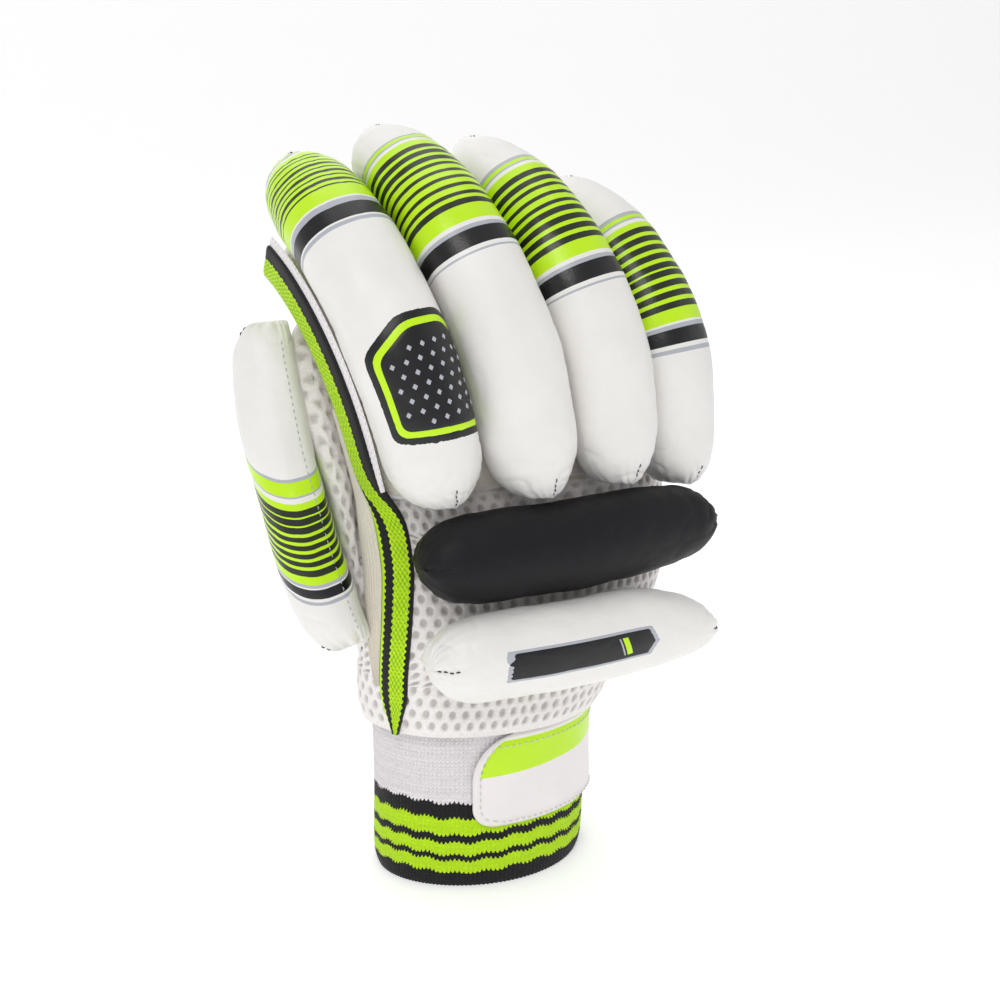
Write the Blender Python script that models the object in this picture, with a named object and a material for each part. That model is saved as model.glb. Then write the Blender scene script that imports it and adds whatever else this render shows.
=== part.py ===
"""Cricket batting glove for the right hand, standing on its knitted cuff with the fingers curled over.

Sizes are in millimetres and become metres as each mesh is made. X runs across the hand from the thumb
side to the little finger, Y from the back of the hand to the palm, and Z up from the cuff's rim. At the
end the whole glove is set down with its origin under the middle of its box.
"""

from math import cos, pi, radians, sin
from typing import NamedTuple

import bmesh
import bpy
import numpy as np
from mathutils import Vector
from mathutils.bvhtree import BVHTree

MM = 0.001
GAP = 0.4
UP = np.array((0.0, 0.0, 1.0))

# Knitted cuff: an oval tube that the hand shell comes down over
CUFF_CENTRE = -3.0
CUFF_WIDTH = 79.0
CUFF_DEPTH = 62.6
CUFF_HEIGHT = 72.0
CUFF_WALL = 2.6
CUFF_SIDES = 40

# Hand shell: mesh over the back, leather over the palm
WRIST_LEVEL = 56.0
KNUCKLE_LEVEL = 136.0
HAND_WIDTH = 120.0
HAND_DEPTH = 64.4
BACK_WALL = 3.0
PALM_WALL = 2.0
SEAM_GAP = 0.6

# Places round the hand shell, in degrees from the little finger side over the palm
THUMB_SEAM = 152.0
LITTLE_SEAM = 0.0
RIBBON_TURN = 201.0

# The thumb's hole in the hand shell: its ends as shares of the shell's height, and its half width in degrees
THUMB_HOLE_LOW = 0.22
THUMB_HOLE_HIGH = 0.84
THUMB_HOLE_SPREAD = 20.0
THUMB_ROOT_MARGIN_UP = 0.02
THUMB_ROOT_MARGIN_ROUND = 3.5

# Fingers: a padded roll lies on the back of each hollow stall
FINGER_LENGTH = 130.0
STALL_DEPTH = 25.0
STALL_WIDTH = 31.0
STALL_WALL = 2.0
ROLL_WIDTH = 33.0
ROLL_THICKNESS = 27.0
FINGER_GAP = 0.7
ROLL_SIDES = 16
STALL_SIDES = 14

# Two padded rolls across the back of the hand
BOLSTER_THICKNESS = 27.0
BOLSTER_BOW = 7.0
KNUCKLE_BOLSTER_PLACE = 0.110
KNUCKLE_BOLSTER_LENGTH = 116.0
KNUCKLE_BOLSTER_HEIGHT = 30.0
KNUCKLE_BOLSTER_LEVEL = 119.5
HAND_BOLSTER_PLACE = 0.072
HAND_BOLSTER_LENGTH = 112.0
HAND_BOLSTER_HEIGHT = 29.0
HAND_BOLSTER_LEVEL = 89.0

# Thumb: one padded roll on the outside of a hollow stall
THUMB_LENGTH = 110.0
THUMB_ROLL_WIDTH = 32.0
THUMB_ROLL_THICKNESS = 22.0
THUMB_STALL_WIDTH = 24.0
THUMB_STALL_DEPTH = 17.0
THUMB_STALL_SLANT = 0.9

# Closing strap, striped side ribbon and the soft fold beside it
STRAP_WIDTH = 33.0
STRAP_THICKNESS = 1.8
STRAP_CORNER = 7.0
STRAP_FREE_TURN = 240.0
STRAP_SEWN_TURN = 450.0
RIBBON_WIDTH = 11.0
RIBBON_THICKNESS = 1.2
WEB_WIDTH = 8.0
WEB_THICKNESS = 1.0
WEB_BULGE = 1.1


class HandSection(NamedTuple):
    """A level section of the hand shell's lining. Reaches are shares of the hand's width, the rest of its depth."""

    height: float
    thumb_side: float
    little_side: float
    depth: float
    centre: float
    bow: float
    square: float


HAND_SECTIONS = (
    HandSection(0.00, -0.364, 0.314, 1.012, 0.000, 0.000, 2.05),
    HandSection(0.20, -0.364, 0.405, 1.012, 0.000, 0.000, 2.05),
    HandSection(0.45, -0.361, 0.535, 0.800, -0.050, 0.020, 2.1),
    HandSection(0.72, -0.355, 0.590, 0.560, -0.060, 0.060, 2.4),
    HandSection(1.00, -0.360, 0.590, 0.390, -0.045, 0.110, 2.8),
)


class FingerPlan(NamedTuple):
    """Where a finger starts and how it bends. Place is a share of the hand's width, sizes of the finger sizes."""

    name: str
    place: float
    length: float
    girth: float
    straight: float
    yaw: float
    lean: float
    pitch: float
    curl: float
    lead: float


FINGERS = (
    FingerPlan("index", -0.240, 0.92, 1.00, 0.22, -8.0, 15.0, 2.0, 78.0, 0.0),
    FingerPlan("middle", 0.014, 0.99, 1.00, 0.22, 0.0, 11.0, 2.0, 78.0, 0.0),
    FingerPlan("ring", 0.275, 0.94, 0.97, 0.22, 8.0, 6.5, 2.0, 78.0, 0.0),
    FingerPlan("little", 0.522, 0.78, 0.93, 0.22, 16.0, 0.0, 2.0, 76.0, 3.0),
)

THUMB = FingerPlan("thumb", 0.0, 1.0, 1.0, 0.05, -102.0, 16.0, -16.0, 14.0, 0.0)
THUMB_START_X = -47.0
THUMB_START_Y = -3.0
THUMB_START_LEVEL = 88.0


class PadSection(NamedTuple):
    """A section of a padded roll: its end seams close it along its width and leave it deep."""

    along: float
    width: float
    depth: float


PAD_SECTIONS = (
    PadSection(0.000, 0.05, 0.50),
    PadSection(0.010, 0.34, 0.60),
    PadSection(0.032, 0.60, 0.74),
    PadSection(0.070, 0.82, 0.88),
    PadSection(0.125, 0.95, 0.97),
    PadSection(0.220, 1.00, 1.00),
    PadSection(0.330, 1.00, 1.00),
    PadSection(0.440, 1.00, 1.00),
    PadSection(0.550, 1.00, 1.00),
    PadSection(0.660, 1.00, 1.00),
    PadSection(0.760, 0.99, 0.99),
    PadSection(0.850, 0.95, 0.96),
    PadSection(0.920, 0.84, 0.90),
    PadSection(0.965, 0.63, 0.76),
    PadSection(0.990, 0.35, 0.62),
    PadSection(1.000, 0.05, 0.50),
)


class StallSection(NamedTuple):
    """A section of a hollow stall from its root to its closed tip."""

    along: float
    girth: float


STALL_SECTIONS = (
    StallSection(0.00, 1.00),
    StallSection(0.12, 1.00),
    StallSection(0.24, 1.00),
    StallSection(0.36, 1.00),
    StallSection(0.48, 1.00),
    StallSection(0.60, 0.99),
    StallSection(0.71, 0.97),
    StallSection(0.81, 0.93),
    StallSection(0.90, 0.82),
    StallSection(0.96, 0.62),
    StallSection(1.00, 0.22),
)


class CuffSection(NamedTuple):
    """A level section of the cuff: a share of its height, and how much fuller it is there in millimetres."""

    height: float
    swell: float


CUFF_SECTIONS = (
    CuffSection(0.00, -1.6),
    CuffSection(0.05, -0.7),
    CuffSection(0.25, 0.0),
    CuffSection(0.45, 0.0),
    CuffSection(0.75, 0.0),
    CuffSection(1.00, 0.0),
)


def clear_scene():
    """Empties the scene."""
    for thing in list(bpy.data.objects):
        bpy.data.objects.remove(thing)


def material(name, colour, roughness):
    """A plain material for one kind of cloth or leather."""
    made = bpy.data.materials.new(name)
    made.use_nodes = True
    shader = made.node_tree.nodes["Principled BSDF"]
    shader.inputs["Base Color"].default_value = (*colour, 1.0)
    shader.inputs["Roughness"].default_value = roughness
    shader.inputs["Metallic"].default_value = 0.0
    return made


def column(rows, name, at):
    """One column of a section table at shares along it, on a smooth curve through its rows."""
    along = np.array([row[0] for row in rows])
    values = np.array([getattr(row, name) for row in rows])
    slopes = np.gradient(values, along)
    at = np.clip(np.asarray(at, float), along[0], along[-1])
    low = np.clip(np.searchsorted(along, at, side="right") - 1, 0, len(along) - 2)
    step = along[low + 1] - along[low]
    t = (at - along[low]) / step
    rise = (3 - 2 * t) * t * t
    start = values[low] + slopes[low] * step * t * (1 - t) ** 2
    return start + (values[low + 1] - values[low]) * rise - slopes[low + 1] * step * t * t * (1 - t)


def unit(vectors):
    """The same directions at length one."""
    return vectors / np.linalg.norm(vectors, axis=-1, keepdims=True)


def solid(name, points, faces, finish):
    """A named object from points in millimetres and faces of their numbers."""
    shape = bmesh.new()
    corners = [shape.verts.new(Vector(point) * MM) for point in points]
    for face in faces:
        shape.faces.new([corners[number] for number in face])
    bmesh.ops.recalc_face_normals(shape, faces=shape.faces)
    mesh = bpy.data.meshes.new(name)
    shape.to_mesh(mesh)
    shape.free()
    mesh.materials.append(finish)
    mesh.shade_smooth()
    mesh.set_sharp_from_angle(angle=radians(50))
    made = bpy.data.objects.new(name, mesh)
    bpy.context.scene.collection.objects.link(made)
    return made


def tube_faces(rings, sides, first=0):
    """Quads between rings that are numbered one after another."""
    return [
        (
            first + ring * sides + side,
            first + ring * sides + (side + 1) % sides,
            first + (ring + 1) * sides + (side + 1) % sides,
            first + (ring + 1) * sides + side,
        )
        for ring in range(rings - 1)
        for side in range(sides)
    ]


def closed_pad(name, rings, finish):
    """A solid lofted through rings and closed by a flat face at each end."""
    sides = rings.shape[1]
    faces = tube_faces(len(rings), sides)
    faces.append(tuple(range(sides)))
    faces.append(tuple(range((len(rings) - 1) * sides, len(rings) * sides)))
    return solid(name, rings.reshape(-1, 3), faces, finish)


def pocket(name, outer, inner, finish):
    """A hollow stall: outer and inner lofts that are both closed at the tip and joined round the root."""
    sides = outer.shape[1]
    start = outer.shape[0] * sides
    faces = tube_faces(len(outer), sides)
    faces += [tuple(reversed(face)) for face in tube_faces(len(inner), sides, start)]
    faces.append(tuple(range(start - sides, start)))
    faces.append(tuple(range(start + (len(inner) - 1) * sides, start + len(inner) * sides)))
    for side in range(sides):
        after = (side + 1) % sides
        faces.append((after, side, start + side, start + after))
    points = np.concatenate([outer.reshape(-1, 3), inner.reshape(-1, 3)])
    return solid(name, points, faces, finish)


def sleeve(name, outer, inner, finish):
    """A tube with a wall, open at both ends."""
    rings, sides = outer.shape[:2]
    start = rings * sides
    faces = tube_faces(rings, sides) + tube_faces(rings, sides, start)
    for ring in (0, rings - 1):
        for side in range(sides):
            after = (side + 1) % sides
            low, high = ring * sides + side, ring * sides + after
            faces.append((low, high, start + high, start + low))
    points = np.concatenate([outer.reshape(-1, 3), inner.reshape(-1, 3)])
    return solid(name, points, faces, finish)


def sheet(name, inside, outside, finish):
    """A solid between two grids of points that lie one over the other."""
    rows, columns = inside.shape[:2]
    start = rows * columns

    def number(row, place, layer):
        return layer * start + row * columns + place

    faces = []
    for row in range(rows - 1):
        for place in range(columns - 1):
            for layer in (0, 1):
                corners = ((row, place), (row, place + 1), (row + 1, place + 1), (row + 1, place))
                faces.append(tuple(number(*corner, layer) for corner in corners))
    rim = [(0, place) for place in range(columns)]
    rim += [(row, columns - 1) for row in range(1, rows)]
    rim += [(rows - 1, place) for place in range(columns - 2, -1, -1)]
    rim += [(row, 0) for row in range(rows - 2, 0, -1)]
    for here, after in zip(rim, rim[1:] + rim[:1]):
        faces.append((number(*here, 0), number(*after, 0), number(*after, 1), number(*here, 1)))
    points = np.concatenate([inside.reshape(-1, 3), outside.reshape(-1, 3)])
    return solid(name, points, faces, finish)


class Spine:
    """A finger's line, where its roll meets its stall: straight at first, then bent round an arc."""

    def __init__(self, start, plan, length):
        turn, lean = radians(plan.yaw), radians(plan.lean)
        side = np.array((cos(turn), sin(turn), 0.0))
        self.start = np.array(start, float)
        self.back = np.array((sin(turn), -cos(turn), 0.0))
        self.rise = cos(lean) * UP - sin(lean) * side
        self.across = cos(lean) * side + sin(lean) * UP
        self.length = length
        self.straight = plan.straight * length
        self.pitch = radians(plan.pitch)
        self.radius = (length - self.straight) / radians(plan.curl)
        self.line = self.at(np.linspace(0.0, length, 40))[0]

    def at(self, along):
        """Points, forward directions and outward directions at distances along the line."""
        along = np.atleast_1d(np.asarray(along, float))
        bent = np.clip(along - self.straight, 0.0, None)
        angle = (self.pitch + bent / self.radius)[:, None]
        flat = np.minimum(along, self.straight)[:, None]
        first = np.cos(self.pitch) * self.rise - np.sin(self.pitch) * self.back
        points = self.start + flat * first
        points = points + self.radius * (np.sin(angle) - np.sin(self.pitch)) * self.rise
        points = points - self.radius * (np.cos(self.pitch) - np.cos(angle)) * self.back
        forward = np.cos(angle) * self.rise - np.sin(angle) * self.back
        outward = np.cos(angle) * self.back + np.sin(angle) * self.rise
        return points, forward, outward

    def rings(self, along, sideways, outwards):
        """Rings of points, one for each distance along, from their offsets across and outwards."""
        points, _, outward = self.at(along)
        return (
            points[:, None, :]
            + sideways[:, :, None] * self.across
            + outwards[:, :, None] * outward[:, None, :]
        )


def nearest(points, line):
    """The distance from each point to a line of points."""
    shape = points.shape[:-1]
    flat = points.reshape(-1, 3)
    low, run = line[:-1], line[1:] - line[:-1]
    away = flat[:, None, :] - low[None]
    share = np.clip((away * run).sum(-1) / (run * run).sum(-1), 0.0, 1.0)
    gaps = away - share[..., None] * run
    return np.linalg.norm(gaps, axis=-1).min(axis=1).reshape(shape)


def hold_apart(points, own, others):
    """Flattens a finger's points where they would press into the fingers beside it."""
    for _ in range(14):
        mine = nearest(points, own.line)
        for other in others:
            pressed = np.clip(mine - nearest(points, other.line) + FINGER_GAP, 0.0, None)
            side = np.sign((other.start - own.start) @ own.across)
            points = points - side * (0.9 * pressed)[..., None] * own.across
    return points


def body(rings):
    """A search tree over a body lofted through rings, with the sign that makes its normals face out."""
    faces = tube_faces(len(rings), rings.shape[1])
    tree = BVHTree.FromPolygons([Vector(point) for point in rings.reshape(-1, 3)], faces)
    inside = Vector(rings[len(rings) // 2].mean(axis=0))
    near, normal, _, _ = tree.find_nearest(inside)
    return tree, 1.0 if (near - inside).dot(normal) > 0 else -1.0


def keep_clear(points, bodies, gap):
    """Moves points that are in a body, or nearer to it than the gap, out to the gap from it."""
    moved = points.copy()
    for place in np.ndindex(points.shape[:-1]):
        point = Vector(points[place])
        for _ in range(3):
            for tree, sign in bodies:
                near, normal, _, _ = tree.find_nearest(point)
                outward = normal * sign
                if (point - near).dot(outward) < gap:
                    point = near + outward * gap
        moved[place] = point
    return moved


def lined(rings, wall):
    """The inside of a wall whose outside is a loft of rings."""
    round_it = np.roll(rings, -1, axis=1) - np.roll(rings, 1, axis=1)
    upward = np.gradient(rings, axis=0)
    inward = unit(np.cross(round_it, upward))
    middle = rings.mean(axis=1, keepdims=True)
    facing = np.sign(((middle - rings) * inward).sum(axis=-1).mean())
    return rings + wall * facing * inward


def hand_lining(turn, height):
    """Points on the hand shell's lining. Turn is in degrees from the little finger side over the palm."""
    turn, height = np.broadcast_arrays(np.radians(turn), np.asarray(height, float))
    power = 2.0 / column(HAND_SECTIONS, "square", height)
    wide = np.sign(np.cos(turn)) * np.abs(np.cos(turn)) ** power
    deep = np.sign(np.sin(turn)) * np.abs(np.sin(turn)) ** power
    low = column(HAND_SECTIONS, "thumb_side", height) * HAND_WIDTH
    high = column(HAND_SECTIONS, "little_side", height) * HAND_WIDTH
    depth = column(HAND_SECTIONS, "depth", height) * HAND_DEPTH / 2
    centre = column(HAND_SECTIONS, "centre", height) * HAND_DEPTH
    bow = column(HAND_SECTIONS, "bow", height) * HAND_DEPTH
    x = (low + high) / 2 + wide * (high - low) / 2
    y = centre + bow * wide * wide + deep * depth
    z = WRIST_LEVEL + height * (KNUCKLE_LEVEL - WRIST_LEVEL)
    return np.stack([x, y, z], axis=-1)


def hand_body(lift):
    """The hand shell's outside as a body, carried straight up past its top."""
    turn, height = np.meshgrid(np.linspace(0.0, 354.0, 60), np.linspace(0.0, 1.0, 15))
    rings = hand_skin(turn, height, np.full(turn.shape, lift))
    return body(np.concatenate([rings, rings[-1:] + 70.0 * UP]))


def finger_body(spine, width, depth):
    """A finger stall's outside as a body, carried straight down past its root."""
    rings = stall_rings(spine, width, depth)
    return body(np.concatenate([rings[:1] - 60.0 * spine.at(0.0)[1][0], rings]))


def hand_outward(turn, height):
    """Outward directions of the hand shell's lining."""
    nudge = 0.4
    round_it = hand_lining(turn + nudge, height) - hand_lining(turn - nudge, height)
    step = 0.004
    high, low = np.minimum(height + step, 1.0), np.maximum(height - step, 0.0)
    upward = hand_lining(turn, high) - hand_lining(turn, low)
    return unit(np.cross(round_it, upward))


def hand_skin(turn, height, lift):
    """Points at a distance outside the hand shell's lining."""
    turn, height = np.broadcast_arrays(np.asarray(turn, float), np.asarray(height, float))
    return hand_lining(turn, height) + hand_outward(turn, height) * np.asarray(lift)[..., None]


def back_surface(x, z):
    """The Y of the back panel's outer face over points of X and Z, carried on level past its edges."""
    height = np.clip((z - WRIST_LEVEL) / (KNUCKLE_LEVEL - WRIST_LEVEL), 0.0, 1.0)
    turns = np.linspace(192.0, 348.0, 60)
    found = np.empty(np.shape(x))
    for place in np.ndindex(np.shape(x)):
        line = hand_skin(turns, height[place], BACK_WALL)
        found[place] = np.interp(x[place], line[:, 0], line[:, 1])
    return found


def hole_share(height):
    """How far open the thumb's hole is at a height, from 0 at its ends to 1 at its middle."""
    middle = (THUMB_HOLE_LOW + THUMB_HOLE_HIGH) / 2
    half = (THUMB_HOLE_HIGH - THUMB_HOLE_LOW) / 2
    return np.sqrt(np.clip(1.0 - ((height - middle) / half) ** 2, 0.0, 1.0))


def hand_panel(name, starts, ends, wall, columns, finish):
    """A panel of the hand shell between two turns that are given for each height."""
    heights = np.linspace(0.0, 1.0, 15)
    shares = np.linspace(0.0, 1.0, columns)
    start, end = starts(heights)[:, None], ends(heights)[:, None]
    turn = start + (end - start) * shares[None, :]
    height = np.broadcast_to(heights[:, None], turn.shape)
    inside = hand_skin(turn, height, np.zeros(turn.shape))
    outside = hand_skin(turn, height, np.full(turn.shape, wall))
    outside[..., 2] = inside[..., 2]
    inside[-1, :, 2] -= GAP
    outside[-1, :, 2] -= GAP
    return sheet(name, inside, outside, finish)


def seam_turn():
    """Half the gap between two panels as an angle round the shell."""
    return np.degrees(SEAM_GAP / 2 / (HAND_DEPTH / 2))


def build_hand(finishes):
    """The mesh back panel and the leather palm, with the thumb's hole between them."""
    half = seam_turn()

    def back_start(height):
        return THUMB_SEAM + half + THUMB_HOLE_SPREAD * hole_share(height)

    def back_end(height):
        return np.full(len(height), LITTLE_SEAM + 360.0 - half)

    def palm_start(height):
        return np.full(len(height), LITTLE_SEAM + half)

    def palm_end(height):
        return THUMB_SEAM - half - THUMB_HOLE_SPREAD * hole_share(height)

    hand_panel("back_panel", back_start, back_end, BACK_WALL, 21, finishes["mesh"])
    hand_panel("palm", palm_start, palm_end, PALM_WALL, 17, finishes["palm"])


def build_cuff(finishes):
    """The knitted cuff, a little fuller above its striped hem."""
    turn = np.linspace(0.0, 2 * pi, CUFF_SIDES, endpoint=False)
    walls = []
    for inset in (0.0, CUFF_WALL):
        rings = []
        for row in CUFF_SECTIONS:
            half_x = CUFF_WIDTH / 2 + row.swell - inset
            half_y = CUFF_DEPTH / 2 + row.swell - inset
            level = np.full(CUFF_SIDES, row.height * CUFF_HEIGHT)
            x = CUFF_CENTRE + half_x * np.cos(turn)
            rings.append(np.stack([x, half_y * np.sin(turn), level], axis=-1))
        walls.append(np.array(rings))
    sleeve("cuff", walls[0], walls[1], finishes["knit"])


def build_strap(finishes):
    """The closing strap, from its rounded free end on the back round to the palm."""
    rows, columns = 7, 33
    low = WRIST_LEVEL - GAP - STRAP_WIDTH
    share = np.linspace(0.0, 1.0, rows)
    edge = np.minimum(share, 1.0 - share) * STRAP_WIDTH
    missing = np.clip(STRAP_CORNER - edge, 0.0, None)
    setback = STRAP_CORNER - np.sqrt(STRAP_CORNER**2 - missing**2)
    start = STRAP_FREE_TURN + np.degrees(setback / (CUFF_WIDTH / 2))
    turn = np.radians(start[:, None] + (STRAP_SEWN_TURN - start[:, None]) * np.linspace(0, 1, columns))
    level = np.broadcast_to((low + share * STRAP_WIDTH)[:, None], turn.shape)
    layers = []
    for lift in (0.5, 0.5 + STRAP_THICKNESS):
        x = CUFF_CENTRE + (CUFF_WIDTH / 2 + lift) * np.cos(turn)
        y = (CUFF_DEPTH / 2 + lift) * np.sin(turn)
        layers.append(np.stack([x, y, level], axis=-1))
    sheet("wrist_strap", layers[0], layers[1], finishes["strap"])


def roll_rings(spine, width, thickness, lead=0.0, seat=0.0):
    """Rings of a padded roll that lies on a spine: round outside and flat where it is sewn down.

    Lead is how far it starts ahead of the spine. Seat is 1 where its ends are sewn down to the spine
    and 0 where they are drawn together halfway up.
    """
    angle = np.linspace(0.0, 2 * pi, ROLL_SIDES, endpoint=False)
    along = np.array([row.along for row in PAD_SECTIONS]) * (spine.length + lead) - lead
    wide = np.array([row.width for row in PAD_SECTIONS])[:, None] * width / 2
    deep = np.array([row.depth for row in PAD_SECTIONS])[:, None] * thickness / 2
    lift = np.sin(angle)
    flattened = np.where(lift < 0, -np.abs(lift) ** 0.6, lift)
    low = (thickness / 2 - deep) * seat
    outwards = GAP / 2 + thickness / 2 + deep * flattened - low
    return spine.rings(along, wide * np.cos(angle), outwards)


def stall_rings(spine, width, depth, slant=0.0):
    """Rings of a stall under a spine. Slant shifts its inner side across, towards the palm."""
    angle = np.linspace(0.0, 2 * pi, STALL_SIDES, endpoint=False)
    along = np.array([row.along for row in STALL_SECTIONS]) * spine.length
    girth = np.array([row.girth for row in STALL_SECTIONS])[:, None]
    power = 0.75
    wide = np.sign(np.cos(angle)) * np.abs(np.cos(angle)) ** power
    deep = np.sign(np.sin(angle)) * np.abs(np.sin(angle)) ** power
    outwards = -GAP / 2 + depth / 2 * (girth * deep - 1.0)
    return spine.rings(along, width / 2 * girth * wide + slant * outwards, outwards)


def cut_level(rings, spine, level):
    """Brings a stall's root down or up to a level plane along the finger's own direction."""
    forward = spine.at(0.0)[1][0]
    rings[0] += ((level - rings[0][:, 2]) / forward[2])[:, None] * forward
    return rings


def finger_spines():
    """The four fingers' spines by name, each starting on the back of the hand shell's top."""
    spines = {}
    for plan in FINGERS:
        x = plan.place * HAND_WIDTH
        y = back_surface(np.array([x]), np.array([KNUCKLE_LEVEL]))[0]
        spines[plan.name] = Spine((x, y, KNUCKLE_LEVEL), plan, plan.length * FINGER_LENGTH)
    return spines


def build_fingers(spines, finishes):
    """A hollow stall and a padded roll for each finger, pressed flat where they meet."""
    names = [plan.name for plan in FINGERS]
    for number, plan in enumerate(FINGERS):
        own = spines[plan.name]
        beside = [spines[name] for name in names[max(number - 1, 0) : number + 2] if name != plan.name]
        width = plan.girth * STALL_WIDTH
        outer = cut_level(stall_rings(own, width, STALL_DEPTH), own, KNUCKLE_LEVEL + GAP)
        outer = hold_apart(outer, own, beside)
        inner = cut_level(lined(outer, STALL_WALL), own, KNUCKLE_LEVEL + GAP)
        pocket(plan.name + "_stall", outer, inner, finishes["stall"])
        roll = roll_rings(own, plan.girth * ROLL_WIDTH, plan.girth * ROLL_THICKNESS, plan.lead)
        closed_pad(plan.name + "_roll", hold_apart(roll, own, beside), finishes["white"])


def build_bolster(name, place, level, length, height, taper, droop, finish):
    """A padded roll across the back of the hand, with its inner side following the back panel.

    Place is a share of the hand's width. Taper is how much the roll's little finger end is drawn in
    and droop is how far that end hangs down.
    """
    angle = np.linspace(0.0, 2 * pi, ROLL_SIDES, endpoint=False)
    share = np.array([row.along for row in PAD_SECTIONS])
    middle = place * HAND_WIDTH
    x = middle + (share - 0.5) * length
    crown = back_surface(np.array([middle]), np.array([level]))[0]
    y = crown - GAP - BOLSTER_THICKNESS / 2 + BOLSTER_BOW * (2 * share - 1) ** 2
    run = unit(np.stack([np.gradient(x), np.gradient(y)], axis=-1))
    outward = np.stack([run[:, 1], -run[:, 0]], axis=-1)
    far = np.clip((share - 0.55) / 0.45, 0.0, 1.0)
    wide = np.array([row.width for row in PAD_SECTIONS]) * (1.0 - taper * far**2)
    tall = wide[:, None] * height / 2
    deep = np.array([row.depth for row in PAD_SECTIONS])[:, None] * BOLSTER_THICKNESS / 2
    rings = np.empty((len(x), ROLL_SIDES, 3))
    rings[..., 0] = x[:, None] + outward[:, :1] * deep * np.sin(angle)
    rings[..., 1] = y[:, None] + outward[:, 1:] * deep * np.sin(angle)
    rings[..., 2] = level - (droop * far**2)[:, None] + tall * np.cos(angle)
    rest = back_surface(rings[..., 0], rings[..., 2]) - GAP
    rings[..., 1] = np.minimum(rings[..., 1], rest)
    closed_pad(name, rings, finish)


def build_thumb(spines, finishes):
    """The thumb's padded roll and its hollow stall, which opens out round the hole in the hand shell."""
    start = (THUMB_START_X, THUMB_START_Y, THUMB_START_LEVEL)
    spine = Spine(start, THUMB, THUMB_LENGTH)
    roll = roll_rings(spine, THUMB_ROLL_WIDTH, THUMB_ROLL_THICKNESS, seat=0.8)
    closed_pad("thumb_roll", roll, finishes["white"])
    skin, pad = hand_body(BACK_WALL), body(roll)
    index = finger_body(spines["index"], STALL_WIDTH, STALL_DEPTH)
    upper = stall_rings(spine, THUMB_STALL_WIDTH, THUMB_STALL_DEPTH, THUMB_STALL_SLANT)[4:]
    root = thumb_root(0.0)
    between = root + (upper[0] - root) * np.array((0.2, 0.4, 0.6, 0.8))[:, None, None]
    between = keep_clear(between, [skin], STALL_WALL + GAP)
    rings = keep_clear(np.concatenate([between, upper]), [skin, index, pad], 1.5 * GAP)
    outer = np.concatenate([root[None], rings])
    inner = keep_clear(lined(outer, STALL_WALL), [skin], GAP)
    inner[0] = thumb_root(STALL_WALL)
    pocket("thumb_stall", outer, inner, finishes["mesh"])


def thumb_root(inset):
    """The thumb stall's root: the outline of the hand shell's hole, seated just outside the shell."""
    angle = np.linspace(0.0, 2 * pi, STALL_SIDES, endpoint=False)
    middle = (THUMB_HOLE_LOW + THUMB_HOLE_HIGH) / 2
    half = (THUMB_HOLE_HIGH - THUMB_HOLE_LOW) / 2 + THUMB_ROOT_MARGIN_UP
    half -= inset / (KNUCKLE_LEVEL - WRIST_LEVEL)
    spread = THUMB_HOLE_SPREAD + THUMB_ROOT_MARGIN_ROUND - np.degrees(inset / (HAND_DEPTH / 2))
    lift = np.full(len(angle), BACK_WALL + GAP)
    return hand_skin(THUMB_SEAM + np.cos(angle) * spread, middle - half * np.sin(angle), lift)


def ribbon_centre(height):
    """The turn of the ribbon's middle at heights up the hand shell."""
    return RIBBON_TURN - 3.0 * np.sin(pi * np.clip(height / 0.7, 0.0, 1.0)) + 2.0 * height


def round_skin(turn, height, distance, lift):
    """A point at a distance round the hand shell from a turn, towards the palm."""
    turns = turn + np.linspace(40.0, -60.0, 101)
    line = hand_skin(turns, np.full(len(turns), height), np.full(len(turns), BACK_WALL + lift))
    steps = np.linalg.norm(np.diff(line, axis=0), axis=1)
    length = np.concatenate([[0.0], np.cumsum(steps)])
    length -= np.interp(-turn, -turns, length)
    return np.array([np.interp(distance, length, line[:, axis]) for axis in range(3)])


def side_strip(spine, heights, along, near, far, lift):
    """A grid of points up the thumb side of the hand and then of the index finger's stall.

    Near and far are the distances of its edges from the ribbon's middle for each row, and lift is the
    distance from the cloth under it for each column.
    """
    share = np.linspace(0.0, 1.0, len(lift))
    away = near[:, None] + (far - near)[:, None] * share
    width = FINGERS[0].girth * STALL_WIDTH
    beside = away[len(heights) :]
    sideways = np.broadcast_to(-width / 2 - lift, beside.shape)
    upper = spine.rings(along, sideways, -GAP / 2 - 1.0 - RIBBON_WIDTH / 2 - beside)
    lower = np.empty((len(heights), len(lift), 3))
    for row, place in np.ndindex(lower.shape[:2]):
        turn = ribbon_centre(heights[row])
        lower[row, place] = round_skin(turn, heights[row], away[row, place], lift[place])
    grid = np.concatenate([lower, upper])
    finger = [finger_body(spine, width, STALL_DEPTH)]
    for place, clearance in enumerate(lift):
        grid[:, place] = keep_clear(grid[:, place], finger, clearance)
    return grid


def build_ribbon(spines, finishes):
    """The striped ribbon up the thumb side of the hand and of the index finger."""
    heights = np.linspace(0.01, 0.995, 13)
    along = np.linspace(0.055, 0.86, 14) * spines["index"].length
    edge = np.full(len(heights) + len(along), RIBBON_WIDTH / 2)
    layers = []
    for lift in (GAP, GAP + RIBBON_THICKNESS):
        layers.append(side_strip(spines["index"], heights, along, -edge, edge, np.full(5, lift)))
    sheet("side_ribbon", layers[0], layers[1], finishes["ribbon"])


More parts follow.
